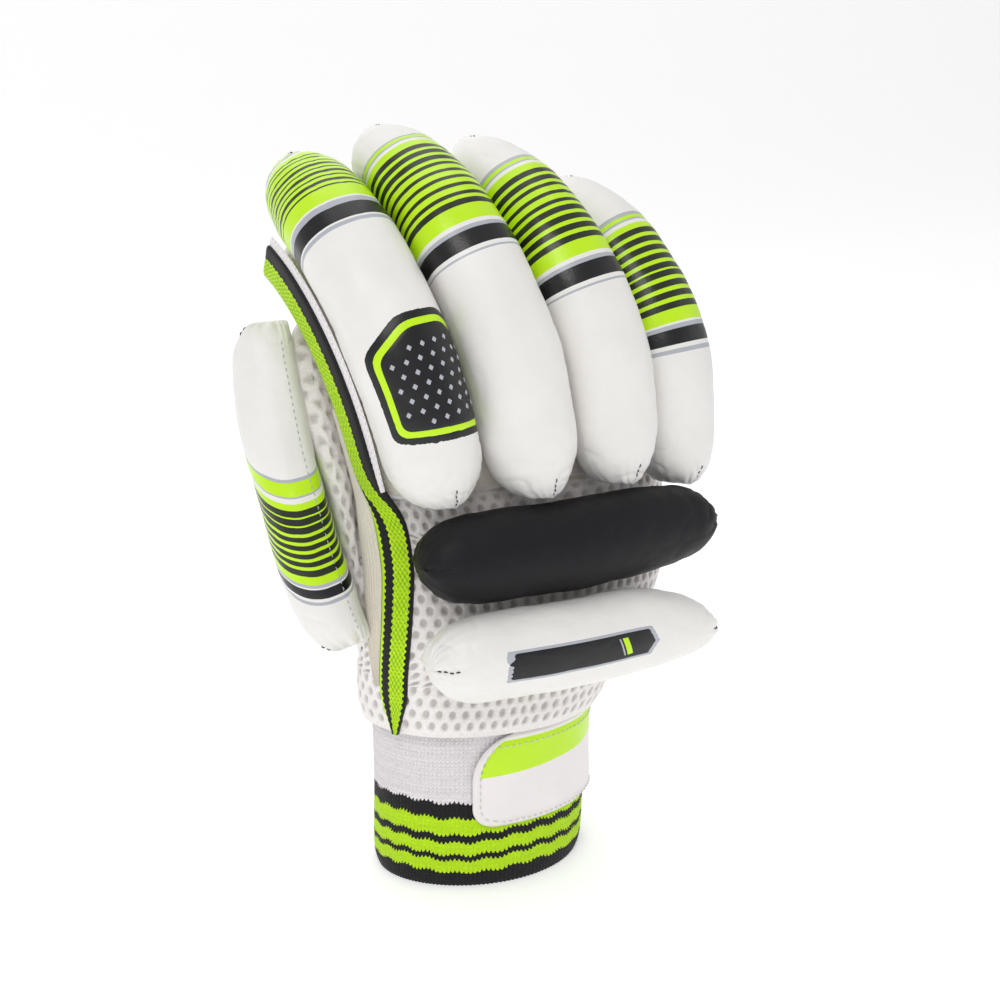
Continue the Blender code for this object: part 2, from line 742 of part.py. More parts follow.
def build_web(spines, finishes):
    """The soft ribbed fold beside the ribbon, between the thumb and the index finger."""
    heights = np.linspace(0.20, 0.995, 10)
    along = np.linspace(0.055, 0.16, 3) * spines["index"].length
    share = np.linspace(0.0, 1.0, len(heights) + len(along))
    near = np.full(len(share), RIBBON_WIDTH / 2 + 0.7)
    far = near + WEB_WIDTH * np.sin(pi * (0.1 + 0.8 * share))
    swell = WEB_BULGE * np.sin(pi * np.linspace(0.0, 1.0, 7))
    layers = []
    for lift in (np.full(7, GAP), GAP + WEB_THICKNESS + swell):
        layers.append(side_strip(spines["index"], heights, along, near, far, lift))
    sheet("web_fold", layers[0], layers[1], finishes["web"])


def set_down():
    """Moves the whole glove so that the middle of its box's underside is the origin."""
    bpy.context.view_layer.update()
    parts = [thing for thing in bpy.data.objects if thing.type == "MESH"]
    corners = np.array([thing.matrix_world @ v.co for thing in parts for v in thing.data.vertices])
    low, high = corners.min(axis=0), corners.max(axis=0)
    shift = Vector(((low[0] + high[0]) / 2, (low[1] + high[1]) / 2, low[2]))
    for thing in parts:
        thing.location -= shift
    bpy.context.view_layer.update()
    return shift


def main():
    """Builds the glove."""
    clear_scene()
    finishes = {
        "white": material("white_leather", (0.86, 0.84, 0.81), 0.45),
        "black": material("black_leather", (0.035, 0.035, 0.042), 0.5),
        "mesh": material("air_mesh", (0.80, 0.78, 0.75), 0.85),
        "palm": material("palm_leather", (0.84, 0.80, 0.74), 0.6),
        "stall": material("finger_cloth", (0.78, 0.76, 0.73), 0.85),
        "knit": material("cuff_knit", (0.82, 0.79, 0.80), 0.95),
        "strap": material("strap_leather", (0.85, 0.83, 0.81), 0.5),
        "ribbon": material("neon_ribbon", (0.62, 0.95, 0.02), 0.8),
        "web": material("ribbed_knit", (0.82, 0.79, 0.72), 0.9),
    }
    build_cuff(finishes)
    build_strap(finishes)
    build_hand(finishes)
    spines = finger_spines()
    build_fingers(spines, finishes)
    build_bolster(
        "knuckle_bolster",
        KNUCKLE_BOLSTER_PLACE,
        KNUCKLE_BOLSTER_LEVEL,
        KNUCKLE_BOLSTER_LENGTH,
        KNUCKLE_BOLSTER_HEIGHT,
        0.10,
        0.0,
        finishes["black"],
    )
    build_bolster(
        "hand_bolster",
        HAND_BOLSTER_PLACE,
        HAND_BOLSTER_LEVEL,
        HAND_BOLSTER_LENGTH,
        HAND_BOLSTER_HEIGHT,
        0.30,
        5.0,
        finishes["white"],
    )
    build_ribbon(spines, finishes)
    build_thumb(spines, finishes)
    build_web(spines, finishes)
    return set_down()


SHIFT = main()
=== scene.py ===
"""Cricket batting glove for the right hand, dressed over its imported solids.

Lengths are in millimetres in the glove's own axes: X runs across the hand from the thumb's side to the
little finger's side, Y from the back of the hand to the palm, and Z up from the cuff's rim. They become
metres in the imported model's frame as each mesh is made.
"""

import logging
from dataclasses import dataclass, field
from enum import Enum
from itertools import product
from math import cos, pi, radians, sin
from typing import Callable, NamedTuple, Optional, Sequence

import bmesh
import bpy
import numpy as np
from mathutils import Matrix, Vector, noise
from mathutils.bvhtree import BVHTree


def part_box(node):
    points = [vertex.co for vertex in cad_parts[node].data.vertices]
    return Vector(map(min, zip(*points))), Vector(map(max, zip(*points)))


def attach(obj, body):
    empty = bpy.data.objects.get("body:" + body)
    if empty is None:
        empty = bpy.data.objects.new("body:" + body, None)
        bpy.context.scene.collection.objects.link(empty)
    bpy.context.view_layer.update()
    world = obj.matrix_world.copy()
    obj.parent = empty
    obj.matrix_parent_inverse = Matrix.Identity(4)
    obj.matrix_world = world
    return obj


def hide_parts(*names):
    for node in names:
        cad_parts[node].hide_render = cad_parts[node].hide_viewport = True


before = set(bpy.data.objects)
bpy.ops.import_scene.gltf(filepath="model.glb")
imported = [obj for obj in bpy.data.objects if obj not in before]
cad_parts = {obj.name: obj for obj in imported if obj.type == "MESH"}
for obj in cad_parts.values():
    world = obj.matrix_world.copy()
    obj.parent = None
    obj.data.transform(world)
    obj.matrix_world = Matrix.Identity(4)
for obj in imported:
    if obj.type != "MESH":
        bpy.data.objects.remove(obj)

LOG = logging.getLogger("glove")
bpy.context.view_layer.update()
Array = np.ndarray

MM = 0.001
GAP = 0.4
UP = np.array((0.0, 0.0, 1.0))
CUFF_CENTRE = -3.0
CUFF_BOX = [np.array(corner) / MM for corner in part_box("cuff")]
CUFF_MIDDLE = (CUFF_BOX[0] + CUFF_BOX[1]) / 2
SHIFT = np.array((CUFF_CENTRE, 0.0, 0.0)) - np.array((CUFF_MIDDLE[0], CUFF_MIDDLE[1], CUFF_BOX[0][2]))


class Ink(Enum):
    """Colours of the leather, cloth and prints, as sRGB hex values."""

    WHITE = "F0EEEB"
    GREY = "B4B7C0"
    NEON = "C6F40A"
    # Painted shade for the perforations in the ribbon's neon stripe
    SHADED_NEON = "86B80A"
    DARK = "1B2410"
    BLACK = "0D0E12"
    KNIT = "F9F4F7"
    # Painted shade for the valleys between the cuff's courses
    KNIT_SHADE = "DDD7DB"
    CREAM = "E6E0D2"
    MESH = "F9F5F3"
    # Greyer cloth in the mesh's holes and the tape's dimples: partly its own colour, partly painted shade
    HOLE = "D0CAC6"
    BOLSTER = "161418"
    STRAP = "F1ECEC"
    PALM = "EDE6DA"
    LINING = "CFCBC6"
    THREAD = "4A4748"
    PALE_THREAD = "DAD6D2"


def linear(ink: Ink) -> tuple[float, float, float, float]:
    """Turns an sRGB hex colour to linear light.

    Args:
        ink: The named colour.

    Returns:
        Red, green, blue and an alpha of one.
    """
    parts = [int(ink.value[place : place + 2], 16) / 255 for place in (0, 2, 4)]
    made = [part / 12.92 if part <= 0.04045 else ((part + 0.055) / 1.055) ** 2.4 for part in parts]
    return (*made, 1.0)


def add(
    tree: bpy.types.NodeTree, kind: str, inputs: Optional[dict] = None, **settings: object
) -> bpy.types.Node:
    """Adds a node with its settings and links.

    Args:
        tree: The material's nodes.
        kind: The node's type name.
        inputs: Values, or sockets to link, for the named or numbered inputs.
        **settings: Attributes of the node.

    Returns:
        The new node.
    """
    made = tree.nodes.new(kind)
    for name, value in settings.items():
        setattr(made, name, value)
    for socket, value in (inputs or {}).items():
        if isinstance(value, bpy.types.NodeSocket):
            tree.links.new(value, made.inputs[socket])
        else:
            made.inputs[socket].default_value = value
    return made


def blank(name: str) -> tuple[bpy.types.Material, bpy.types.NodeTree, bpy.types.Node]:
    """Starts a material.

    Args:
        name: Its name.

    Returns:
        The material, its nodes and its Principled shader.
    """
    made = bpy.data.materials.new(name)
    made.use_nodes = True
    tree = made.node_tree
    return made, tree, tree.nodes["Principled BSDF"]


class Band(NamedTuple):
    """A printed or knitted band: where it starts in millimetres, and its colour from there on."""

    start: float
    ink: Ink


def ramp_of(tree: bpy.types.NodeTree, bands: Sequence[Band], reach: float) -> bpy.types.Node:
    """Adds hard-edged bands that follow the vertex attribute "run", in millimetres.

    Args:
        tree: The material's nodes.
        bands: The bands from the lowest start to the highest.
        reach: The attribute's largest value.

    Returns:
        The ramp, whose alpha is 1 on print and 0 on the bare ground of the first band.
    """
    run = add(tree, "ShaderNodeAttribute", attribute_name="run")
    share = add(tree, "ShaderNodeMath", {0: run.outputs["Fac"], 1: reach}, operation="DIVIDE")
    ramp = add(tree, "ShaderNodeValToRGB", {"Fac": share.outputs[0]})
    ramp.color_ramp.interpolation = "CONSTANT"
    stops = ramp.color_ramp.elements
    while len(stops) < len(bands):
        stops.new(1.0)
    ground = bands[0].ink
    for stop, band in zip(stops, bands):
        stop.position = min(max(band.start / reach, 0.0), 1.0)
    for stop, band in zip(stops, bands):
        stop.color = (*linear(band.ink)[:3], 0.0 if band.ink is ground else 1.0)
    return ramp


def colour_with_relief_shade(
    tree: bpy.types.NodeTree, colour: bpy.types.NodeSocket, pattern: bpy.types.NodeSocket, low: float
) -> None:
    """Gives a material its colour with painted shade: darker where the soft pattern of its relief is low.

    Args:
        tree: The material's nodes.
        colour: Its even colour.
        pattern: The pattern, mostly from 0.3 to 0.7.
        low: The share of the colour that the darkest parts keep.
    """
    span = {"Value": pattern, "From Min": 0.3, "From Max": 0.7, "To Min": low, "To Max": 1.0}
    shade = add(tree, "ShaderNodeMapRange", span)
    relief_shaded_colour = add(tree, "ShaderNodeVectorMath", {0: colour, 1: shade.outputs[0]}, operation="MULTIPLY")
    tree.links.new(relief_shaded_colour.outputs[0], tree.nodes["Principled BSDF"].inputs["Base Color"])


@dataclass(frozen=True)
class PressedLeather:
    """Coated leather pressed with a fine grain: small soft cells in the light, and a sheen on the prints."""

    name: str
    ground: Ink
    bands: tuple[Band, ...] = ()
    reach: float = 140.0
    grain_mm: float = 1.1
    roughness: float = 0.46
    print_roughness: float = 0.30
    gloss: float = 0.5
    relief_mm: float = 0.05
    foam_mm: float = 16.0
    foam_relief_mm: float = 0.9

    def make(self) -> bpy.types.Material:
        """Builds the material.

        Returns:
            The material.
        """
        made, tree, shader = blank(self.name)
        place = add(tree, "ShaderNodeTexCoord").outputs["Object"]
        pressed = {"Vector": place, "Scale": 1.0 / (self.grain_mm * MM), "Randomness": 1.0}
        cells = add(tree, "ShaderNodeTexVoronoi", pressed, feature="DISTANCE_TO_EDGE")
        foam = {"Vector": place, "Scale": 1.0 / (self.foam_mm * MM), "Detail": 4.0, "Roughness": 0.55}
        soft = add(tree, "ShaderNodeTexNoise", foam).outputs[0]
        # The hide's grain: flat cells with narrow valleys, on soft unevenness from the foam under it
        cell = add(tree, "ShaderNodeMapRange", {"Value": cells.outputs["Distance"], "From Max": 0.25})
        uneven = {"Height": soft, "Strength": 0.35, "Distance": self.foam_relief_mm * MM}
        under = add(tree, "ShaderNodeBump", uneven).outputs[0]
        grain = {"Height": cell.outputs[0], "Strength": 0.5, "Distance": self.relief_mm * MM}
        grain["Normal"] = under
        tree.links.new(add(tree, "ShaderNodeBump", grain).outputs[0], shader.inputs["Normal"])
        if self.bands:
            ramp = ramp_of(tree, self.bands, self.reach)
            colour = ramp.outputs["Color"]
            ends = {"Value": ramp.outputs["Alpha"], "To Min": self.roughness, "To Max": self.print_roughness}
            tree.links.new(add(tree, "ShaderNodeMapRange", ends).outputs[0], shader.inputs["Roughness"])
        else:
            flat = add(tree, "ShaderNodeRGB")
            flat.outputs[0].default_value = linear(self.ground)
            colour = flat.outputs[0]
            shader.inputs["Roughness"].default_value = self.roughness
        # Painted shade: the colour is up to 4.5 percent darker where the foam's soft pattern, which the bump
        # also follows, is low
        colour_with_relief_shade(tree, colour, soft, 0.955)
        shader.inputs["IOR"].default_value = 1.5
        shader.inputs["Specular IOR Level"].default_value = self.gloss
        shader.inputs["Coat Weight"].default_value = 0.16 * self.gloss
        shader.inputs["Coat Roughness"].default_value = 0.35
        return made


@dataclass(frozen=True)
class Cloth:
    """Knitted or woven polyester: fine loops that break the light up, with a soft sheen and no gloss."""

    name: str
    ground: Ink
    bands: tuple[Band, ...] = ()
    reach: float = 100.0
    loop_mm: float = 0.7
    relief_mm: float = 0.16
    hole_ink: Optional[Ink] = None
    roughness: float = 0.85

    def make(self) -> bpy.types.Material:
        """Builds the material.

        Returns:
            The material.
        """
        made, tree, shader = blank(self.name)
        place = add(tree, "ShaderNodeTexCoord").outputs["Object"]
        knitted = {"Vector": place, "Scale": 1.0 / (self.loop_mm * MM), "Detail": 3.0}
        loops = add(tree, "ShaderNodeTexNoise", knitted).outputs[0]
        relief = {"Height": loops, "Strength": 0.7, "Distance": self.relief_mm * MM}
        tree.links.new(add(tree, "ShaderNodeBump", relief).outputs[0], shader.inputs["Normal"])
        if self.bands:
            colour = ramp_of(tree, self.bands, self.reach).outputs["Color"]
        else:
            flat = add(tree, "ShaderNodeRGB")
            flat.outputs[0].default_value = linear(self.ground)
            colour = flat.outputs[0]
        if self.hole_ink is not None:
            # The cloth under the holes is seen through them, greyer, with painted shade in them; on the cuff
            # the same mix is painted shade in the valleys between the courses
            hole = add(tree, "ShaderNodeAttribute", attribute_name="hole")
            mix = {"Fac": hole.outputs["Fac"], "Color1": colour, "Color2": linear(self.hole_ink)}
            colour = add(tree, "ShaderNodeMixRGB", mix).outputs[0]
        # Painted shade: the colour is up to 14 percent darker where the loops' pattern, which the bump also
        # follows, is low
        colour_with_relief_shade(tree, colour, loops, 0.86)
        shader.inputs["Roughness"].default_value = self.roughness
        shader.inputs["Sheen Weight"].default_value = 0.15
        shader.inputs["Sheen Roughness"].default_value = 0.5
        return made


@dataclass(frozen=True)
class Film:
    """Screen-printed ink film: flat colour with a low gloss, a little uneven where the grain shows."""

    name: str
    ink: Ink
    roughness: float = 0.38
    grain_mm: float = 1.0
    relief_mm: float = 0.04

    def make(self) -> bpy.types.Material:
        """Builds the material.

        Returns:
            The material.
        """
        made, tree, shader = blank(self.name)
        place = add(tree, "ShaderNodeTexCoord").outputs["Object"]
        fine = {"Vector": place, "Scale": 1.0 / (self.grain_mm * MM), "Detail": 2.0}
        grain = add(tree, "ShaderNodeTexNoise", fine).outputs[0]
        relief = {"Height": grain, "Strength": 0.4, "Distance": self.relief_mm * MM}
        tree.links.new(add(tree, "ShaderNodeBump", relief).outputs[0], shader.inputs["Normal"])
        shader.inputs["Base Color"].default_value = linear(self.ink)
        shader.inputs["Roughness"].default_value = self.roughness
        return made


@dataclass(frozen=True)
class Thread(Film):
    """Twisted polyester sewing thread: matt, and uneven like the film where its strands cross."""

    roughness: float = 0.7


SEAM_THREAD = Thread("seam_thread", Ink.THREAD)
DARK_THREAD = Thread("dark_thread", Ink.BLACK)
PALE_THREAD = Thread("pale_thread", Ink.PALE_THREAD)
GREY_THREAD = Thread("grey_thread", Ink.GREY)
SPACER_MESH = Cloth("spacer_mesh", Ink.MESH, hole_ink=Ink.HOLE)
PALM_HIDE = PressedLeather("palm_hide", Ink.PALM, roughness=0.6, relief_mm=0.08)
FINGER_HIDE = PressedLeather("finger_hide", Ink.PALM, roughness=0.6, relief_mm=0.08)
PATCH_HIDE = PressedLeather("palm_patch_hide", Ink.WHITE, roughness=0.58, relief_mm=0.08)


def finish_of(thing: object) -> bpy.types.Material:
    """Returns a finish's material, made once.

    Args:
        thing: A finish with a name and a make method.

    Returns:
        The material.
    """
    made = bpy.data.materials.get(thing.name)
    return made or thing.make()


def unit(vectors: Array) -> Array:
    """Returns the same directions at length one."""
    return vectors / np.maximum(np.linalg.norm(vectors, axis=-1, keepdims=True), 1e-9)


def column(rows: Sequence[NamedTuple], name: str, at: Array) -> Array:
    """Reads a column of a section table on a smooth curve through its rows.

    Args:
        rows: The table, whose first column is the share along it.
        name: The column to read.
        at: Shares along it.

    Returns:
        The values at those shares.
    """
    along = np.array([row[0] for row in rows])
    values = np.array([getattr(row, name) for row in rows])
    slopes = np.gradient(values, along)
    at = np.clip(np.asarray(at, float), along[0], along[-1])
    low = np.clip(np.searchsorted(along, at, side="right") - 1, 0, len(along) - 2)
    step = along[low + 1] - along[low]
    t = (at - along[low]) / step
    rise = (3 - 2 * t) * t * t
    start = values[low] + slopes[low] * step * t * (1 - t) ** 2
    return start + (values[low + 1] - values[low]) * rise - slopes[low + 1] * step * t * t * (1 - t)


def roughen(points: Array, size: float, seed: float) -> Array:
    """Soft noise from -1 to 1 at points.

    Args:
        points: Points in millimetres.
        size: The size of its hills in millimetres.
        seed: A shift that gives each piece its own noise.

    Returns:
        One value for each point.
    """
    flat = points.reshape(-1, 3) / size + seed
    made = np.array([noise.noise(Vector(point)) for point in flat])
    return made.reshape(points.shape[:-1])


def ramp01(value: Array, low: float, high: float) -> Array:
    """A smooth rise from 0 at low to 1 at high."""
    t = np.clip((value - low) / (high - low), 0.0, 1.0)
    return t * t * (3 - 2 * t)


def squared(wave: Array, power: Array) -> Array:
    """Bends a sine towards a square wave as the power falls below one."""
    return np.sign(wave) * np.abs(wave) ** power


def make_object(
    name: str, points: Array, faces: Sequence[Sequence[int]], attributes: Optional[dict] = None
) -> bpy.types.Object:
    """Makes a mesh object from points in the glove's axes.

    Args:
        name: The piece's name.
        points: Points in millimetres.
        faces: Corner numbers, one row for each quad or longer face.
        attributes: Named values for each point.

    Returns:
        The object, smooth shaded.
    """
    mesh = bpy.data.meshes.new(name)
    placed = (points.reshape(-1, 3) - SHIFT) * MM
    mesh.from_pydata(placed.tolist(), [], [list(map(int, face)) for face in faces])
    for label, values in (attributes or {}).items():
        layer = mesh.attributes.new(label, "FLOAT", "POINT")
        layer.data.foreach_set("value", np.asarray(values, np.float32).reshape(-1))
    shape = bmesh.new()
    shape.from_mesh(mesh)
    bmesh.ops.recalc_face_normals(shape, faces=shape.faces)
    shape.to_mesh(mesh)
    shape.free()
    mesh.shade_smooth()
    made = bpy.data.objects.new(name, mesh)
    bpy.context.scene.collection.objects.link(made)
    return made


def grid_faces(rows: int, columns: int, closed: bool) -> list[tuple[int, ...]]:
    """Quads over a grid of points.

    Args:
        rows: How many rows.
        columns: How many points in a row.
        closed: Whether each row is a ring.

    Returns:
        The corner numbers of each quad.
    """
    across = columns if closed else columns - 1
    return [
        (
            row * columns + place,
            row * columns + (place + 1) % columns,
            (row + 1) * columns + (place + 1) % columns,
            (row + 1) * columns + place,
        )
        for row in range(rows - 1)
        for place in range(across)
    ]


@dataclass
class Skin:
    """A surface as a grid of points, with distances along and across it, that trims can be laid on."""

    points: Array
    closed: bool = False
    outward: float = 1.0
    normals: Array = field(init=False)
    along: Array = field(init=False)
    across: Array = field(init=False)

    def __post_init__(self) -> None:
        """Works out its normals and distances."""
        self.measure()

    def measure(self) -> None:
        """Works out the normals and the distances again after the points have moved."""
        down = np.gradient(self.points, axis=0)
        if self.closed:
            round_it = np.roll(self.points, -1, axis=1) - np.roll(self.points, 1, axis=1)
        else:
            round_it = np.gradient(self.points, axis=1)
        self.normals = unit(np.cross(round_it, down)) * self.outward
        middle = self.points.shape[1] // 2
        steps = np.linalg.norm(np.diff(self.points[:, middle], axis=0), axis=-1)
        self.along = np.concatenate([[0.0], np.cumsum(steps)])
        row = self.points.shape[0] // 2
        steps = np.linalg.norm(np.diff(self.points[row], axis=0), axis=-1)
        across = np.concatenate([[0.0], np.cumsum(steps)])
        self.across = across - across[middle]

    def push(self, distance: Array) -> None:
        """Moves each point along its normal."""
        self.points = self.points + self.normals * distance[..., None]
        self.measure()

    def at(self, along: Array, across: Array) -> tuple[Array, Array]:
        """Points and normals at distances along and across it.

        Args:
            along: Distances from its first row, in millimetres.
            across: Distances from its middle column, in millimetres.

        Returns:
            The points and the outward normals.
        """
        row = np.interp(along, self.along, np.arange(len(self.along)))
        place = np.interp(across, self.across, np.arange(len(self.across)))
        r, c = np.floor(row).astype(int), np.floor(place).astype(int)
        r, c = np.clip(r, 0, self.points.shape[0] - 2), np.clip(c, 0, self.points.shape[1] - 2)
        t, s = (row - r)[..., None], (place - c)[..., None]
        found = []
        for grid in (self.points, self.normals):
            low = grid[r, c] * (1 - s) + grid[r, c + 1] * s
            high = grid[r + 1, c] * (1 - s) + grid[r + 1, c + 1] * s
            found.append(low * (1 - t) + high * t)
        return found[0], unit(found[1])

    def edged(self, depth: float) -> "Skin":
        """The same surface with its border turned in.

        Args:
            depth: How deep the border goes.

        Returns:
            The surface and its border.
        """
        points = np.pad(self.points, ((1, 1), (1, 1), (0, 0)), mode="edge")
        normals = np.pad(self.normals, ((1, 1), (1, 1), (0, 0)), mode="edge")
        inward = np.zeros(points.shape[:2])
        inward[0], inward[-1], inward[:, 0], inward[:, -1] = depth, depth, depth, depth
        return Skin(points - normals * inward[..., None], outward=self.outward)

    def object(self, name: str, attributes: Optional[dict] = None, ends: bool = False) -> bpy.types.Object:
        """Makes its mesh.

        Args:
            name: The piece's name.
            attributes: Named values for each point.
            ends: Whether its first and last rings are closed.

        Returns:
            The object.
        """
        rows, columns = self.points.shape[:2]
        faces = grid_faces(rows, columns, self.closed)
        if ends:
            faces.append(tuple(range(columns)))
            faces.append(tuple(range((rows - 1) * columns, rows * columns)))
        return make_object(name, self.points, faces, attributes)

    def patch(self, outline: Array, lift: float, rings: int = 10) -> tuple[Array, list]:
        """A thin film laid on the surface inside an outline.

        Args:
            outline: Corners as distances along and across, in order round it.
            lift: Its height over the surface.
            rings: How many steps from its middle to its edge.

        Returns:
            Its points and its faces.
        """
        middle = outline.mean(axis=0)
        shares = np.linspace(0.0, 1.0, rings + 1)[1:]
        flat = middle + (outline - middle)[None] * shares[:, None, None]
        flat = np.concatenate([np.broadcast_to(middle, (1, len(outline), 2)), flat])
        points, normals = self.at(flat[..., 0], flat[..., 1])
        raised = points + normals * lift
        raised[-1] = points[-1] - normals[-1] * 0.15
        return raised, grid_faces(len(raised), len(outline), True)


def rounded_outline(corners: Sequence[tuple[float, float]], radius: float, steps: int = 6) -> Array:
    """Rounds the corners of an outline and fills its sides with points.

    Args:
        corners: Its corners in order.
        radius: How far from each corner the round starts.
        steps: Points on each round.

    Returns:
        The points in order round it.
    """
    made = []
    corners = [np.array(corner, float) for corner in corners]
    for number, corner in enumerate(corners):
        before, after = corners[number - 1], corners[(number + 1) % len(corners)]
        back, on = before - corner, after - corner
        start = corner + back / np.linalg.norm(back) * min(radius, np.linalg.norm(back) / 2)
        end = corner + on / np.linalg.norm(on) * min(radius, np.linalg.norm(on) / 2)
        for t in np.linspace(0.0, 1.0, steps):
            made.append((1 - t) ** 2 * start + 2 * t * (1 - t) * corner + t * t * end)
        far = corners[(number + 1) % len(corners)]
        gone = far - on / np.linalg.norm(on) * min(radius, np.linalg.norm(on) / 2)
        count = max(int(np.linalg.norm(gone - end) / 1.5), 1)
        for t in np.linspace(0.0, 1.0, count + 1)[1:-1]:
            made.append(end + (gone - end) * t)
    return np.array(made)


STITCH_POINTS = 5
STITCH_RISE = 0.35
STITCH_SINK = 0.08


@dataclass
class Trim:
    """Many small parts, such as stitches, gathered into one mesh."""

    name: str
    points: list = field(default_factory=list)
    faces: list = field(default_factory=list)

    def add(self, points: Array, faces: Sequence[Sequence[int]]) -> None:
        """Adds a part's points and faces.

        Args:
            points: Its points.
            faces: Its faces' corner numbers.
        """
        start = len(self.points)
        self.points.extend(points.reshape(-1, 3).tolist())
        self.faces.extend([[start + int(number) for number in face] for face in faces])

    def tube(self, line: Array, radius: Array, sides: int = 8) -> None:
        """Adds a round tube along a line.

        Args:
            line: Its points.
            radius: Its radius at each point.
            sides: How many sides it has.
        """
        run = unit(np.gradient(line, axis=0))
        side = unit(np.cross(run, np.where(np.abs(run[:, 2:]) > 0.9, (1.0, 0.0, 0.0), (0.0, 0.0, 1.0))))
        other = np.cross(run, side)
        angle = np.linspace(0.0, 2 * pi, sides, endpoint=False)
        ring = np.cos(angle)[None, :, None] * side[:, None] + np.sin(angle)[None, :, None] * other[:, None]
        rings = line[:, None] + ring * np.asarray(radius).reshape(-1, 1, 1)
        faces = grid_faces(len(line), sides, True)
        faces.append(tuple(range(sides)))
        faces.append(tuple(range((len(line) - 1) * sides, len(line) * sides)))
        self.add(rings, faces)

    def stitches(
        self, skin: Skin, path: Array, pitch: float, share: float = 0.62, radius: float = 0.28
    ) -> None:
        """Sews a run of stitches along a path on a surface.

        Args:
            skin: The surface.
            path: Distances along and across it.
            pitch: From one stitch to the next.
            share: How much of the pitch a stitch covers.
            radius: The thread's radius.
        """
        steps = np.linalg.norm(np.diff(path, axis=0), axis=1)
        length = np.concatenate([[0.0], np.cumsum(steps)])
        arch = np.sin(np.linspace(0.0, pi, STITCH_POINTS))
        for number in range(int(length[-1] / pitch)):
            at = (number + share * np.linspace(0.0, 1.0, STITCH_POINTS)) * pitch
            along = np.interp(at, length, path[:, 0])
            across = np.interp(at, length, path[:, 1])
            points, normals = skin.at(along, across)
            line = points + normals * (arch * STITCH_RISE - STITCH_SINK)[:, None]
            self.tube(line, radius * (0.55 + 0.45 * arch), 6)

    def row(self, skin: Skin, span: tuple[float, float], across: float, points: int, *look: float) -> None:
        """Sews a straight row along a surface.

        Args:
            skin: The surface.
            span: Where it starts and ends along the surface.
            across: Its distance across.
            points: How many points its path has.
            *look: The stitches' pitch, share and radius.
        """
        run = np.linspace(*span, points)
        self.stitches(skin, np.stack([run, np.full(points, across)], axis=-1), *look)

    def object(self) -> bpy.types.Object:
        """Makes its mesh."""
        return make_object(self.name, np.array(self.points), self.faces)


def dress(piece: bpy.types.Object, finish: object, slot: str, *nodes: str) -> bpy.types.Object:
    """Gives a piece its finish and ties it to the frame.

    Args:
        piece: The piece.
        finish: Its finish.
        slot: The record's material slot. It is not used.
        *nodes: The solids that it stands for.

    Returns:
        The piece.
    """
    piece.data.materials.append(finish_of(finish))
    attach(piece, "root")
    if nodes:
        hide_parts(*nodes)
    LOG.info("%s: %d faces", piece.name, len(piece.data.polygons))
    return piece


def lay_print(
    name: str, skin: Skin, outline: Array, ink: Ink, lift: float, rings: int, slot: str
) -> None:
    """Lays a printed film on a surface.

    Args:
        name: The film's name.
        skin: The surface.
        outline: Its corners as distances along and across the surface.
        ink: Its colour.
        lift: Its height over the surface.
        rings: How many steps it has from its middle to its edge.
        slot: The record's material slot.
    """
    points, faces = skin.patch(outline, lift, rings)
    dress(make_object(name, points, faces), Film(name + "_ink", ink), slot)


class HandSection(NamedTuple):
    """A level section of the hand's lining, in shares of the hand's width and depth."""

    height: float
    thumb_side: float
    little_side: float
    depth: float
    centre: float
    bow: float
    square: float


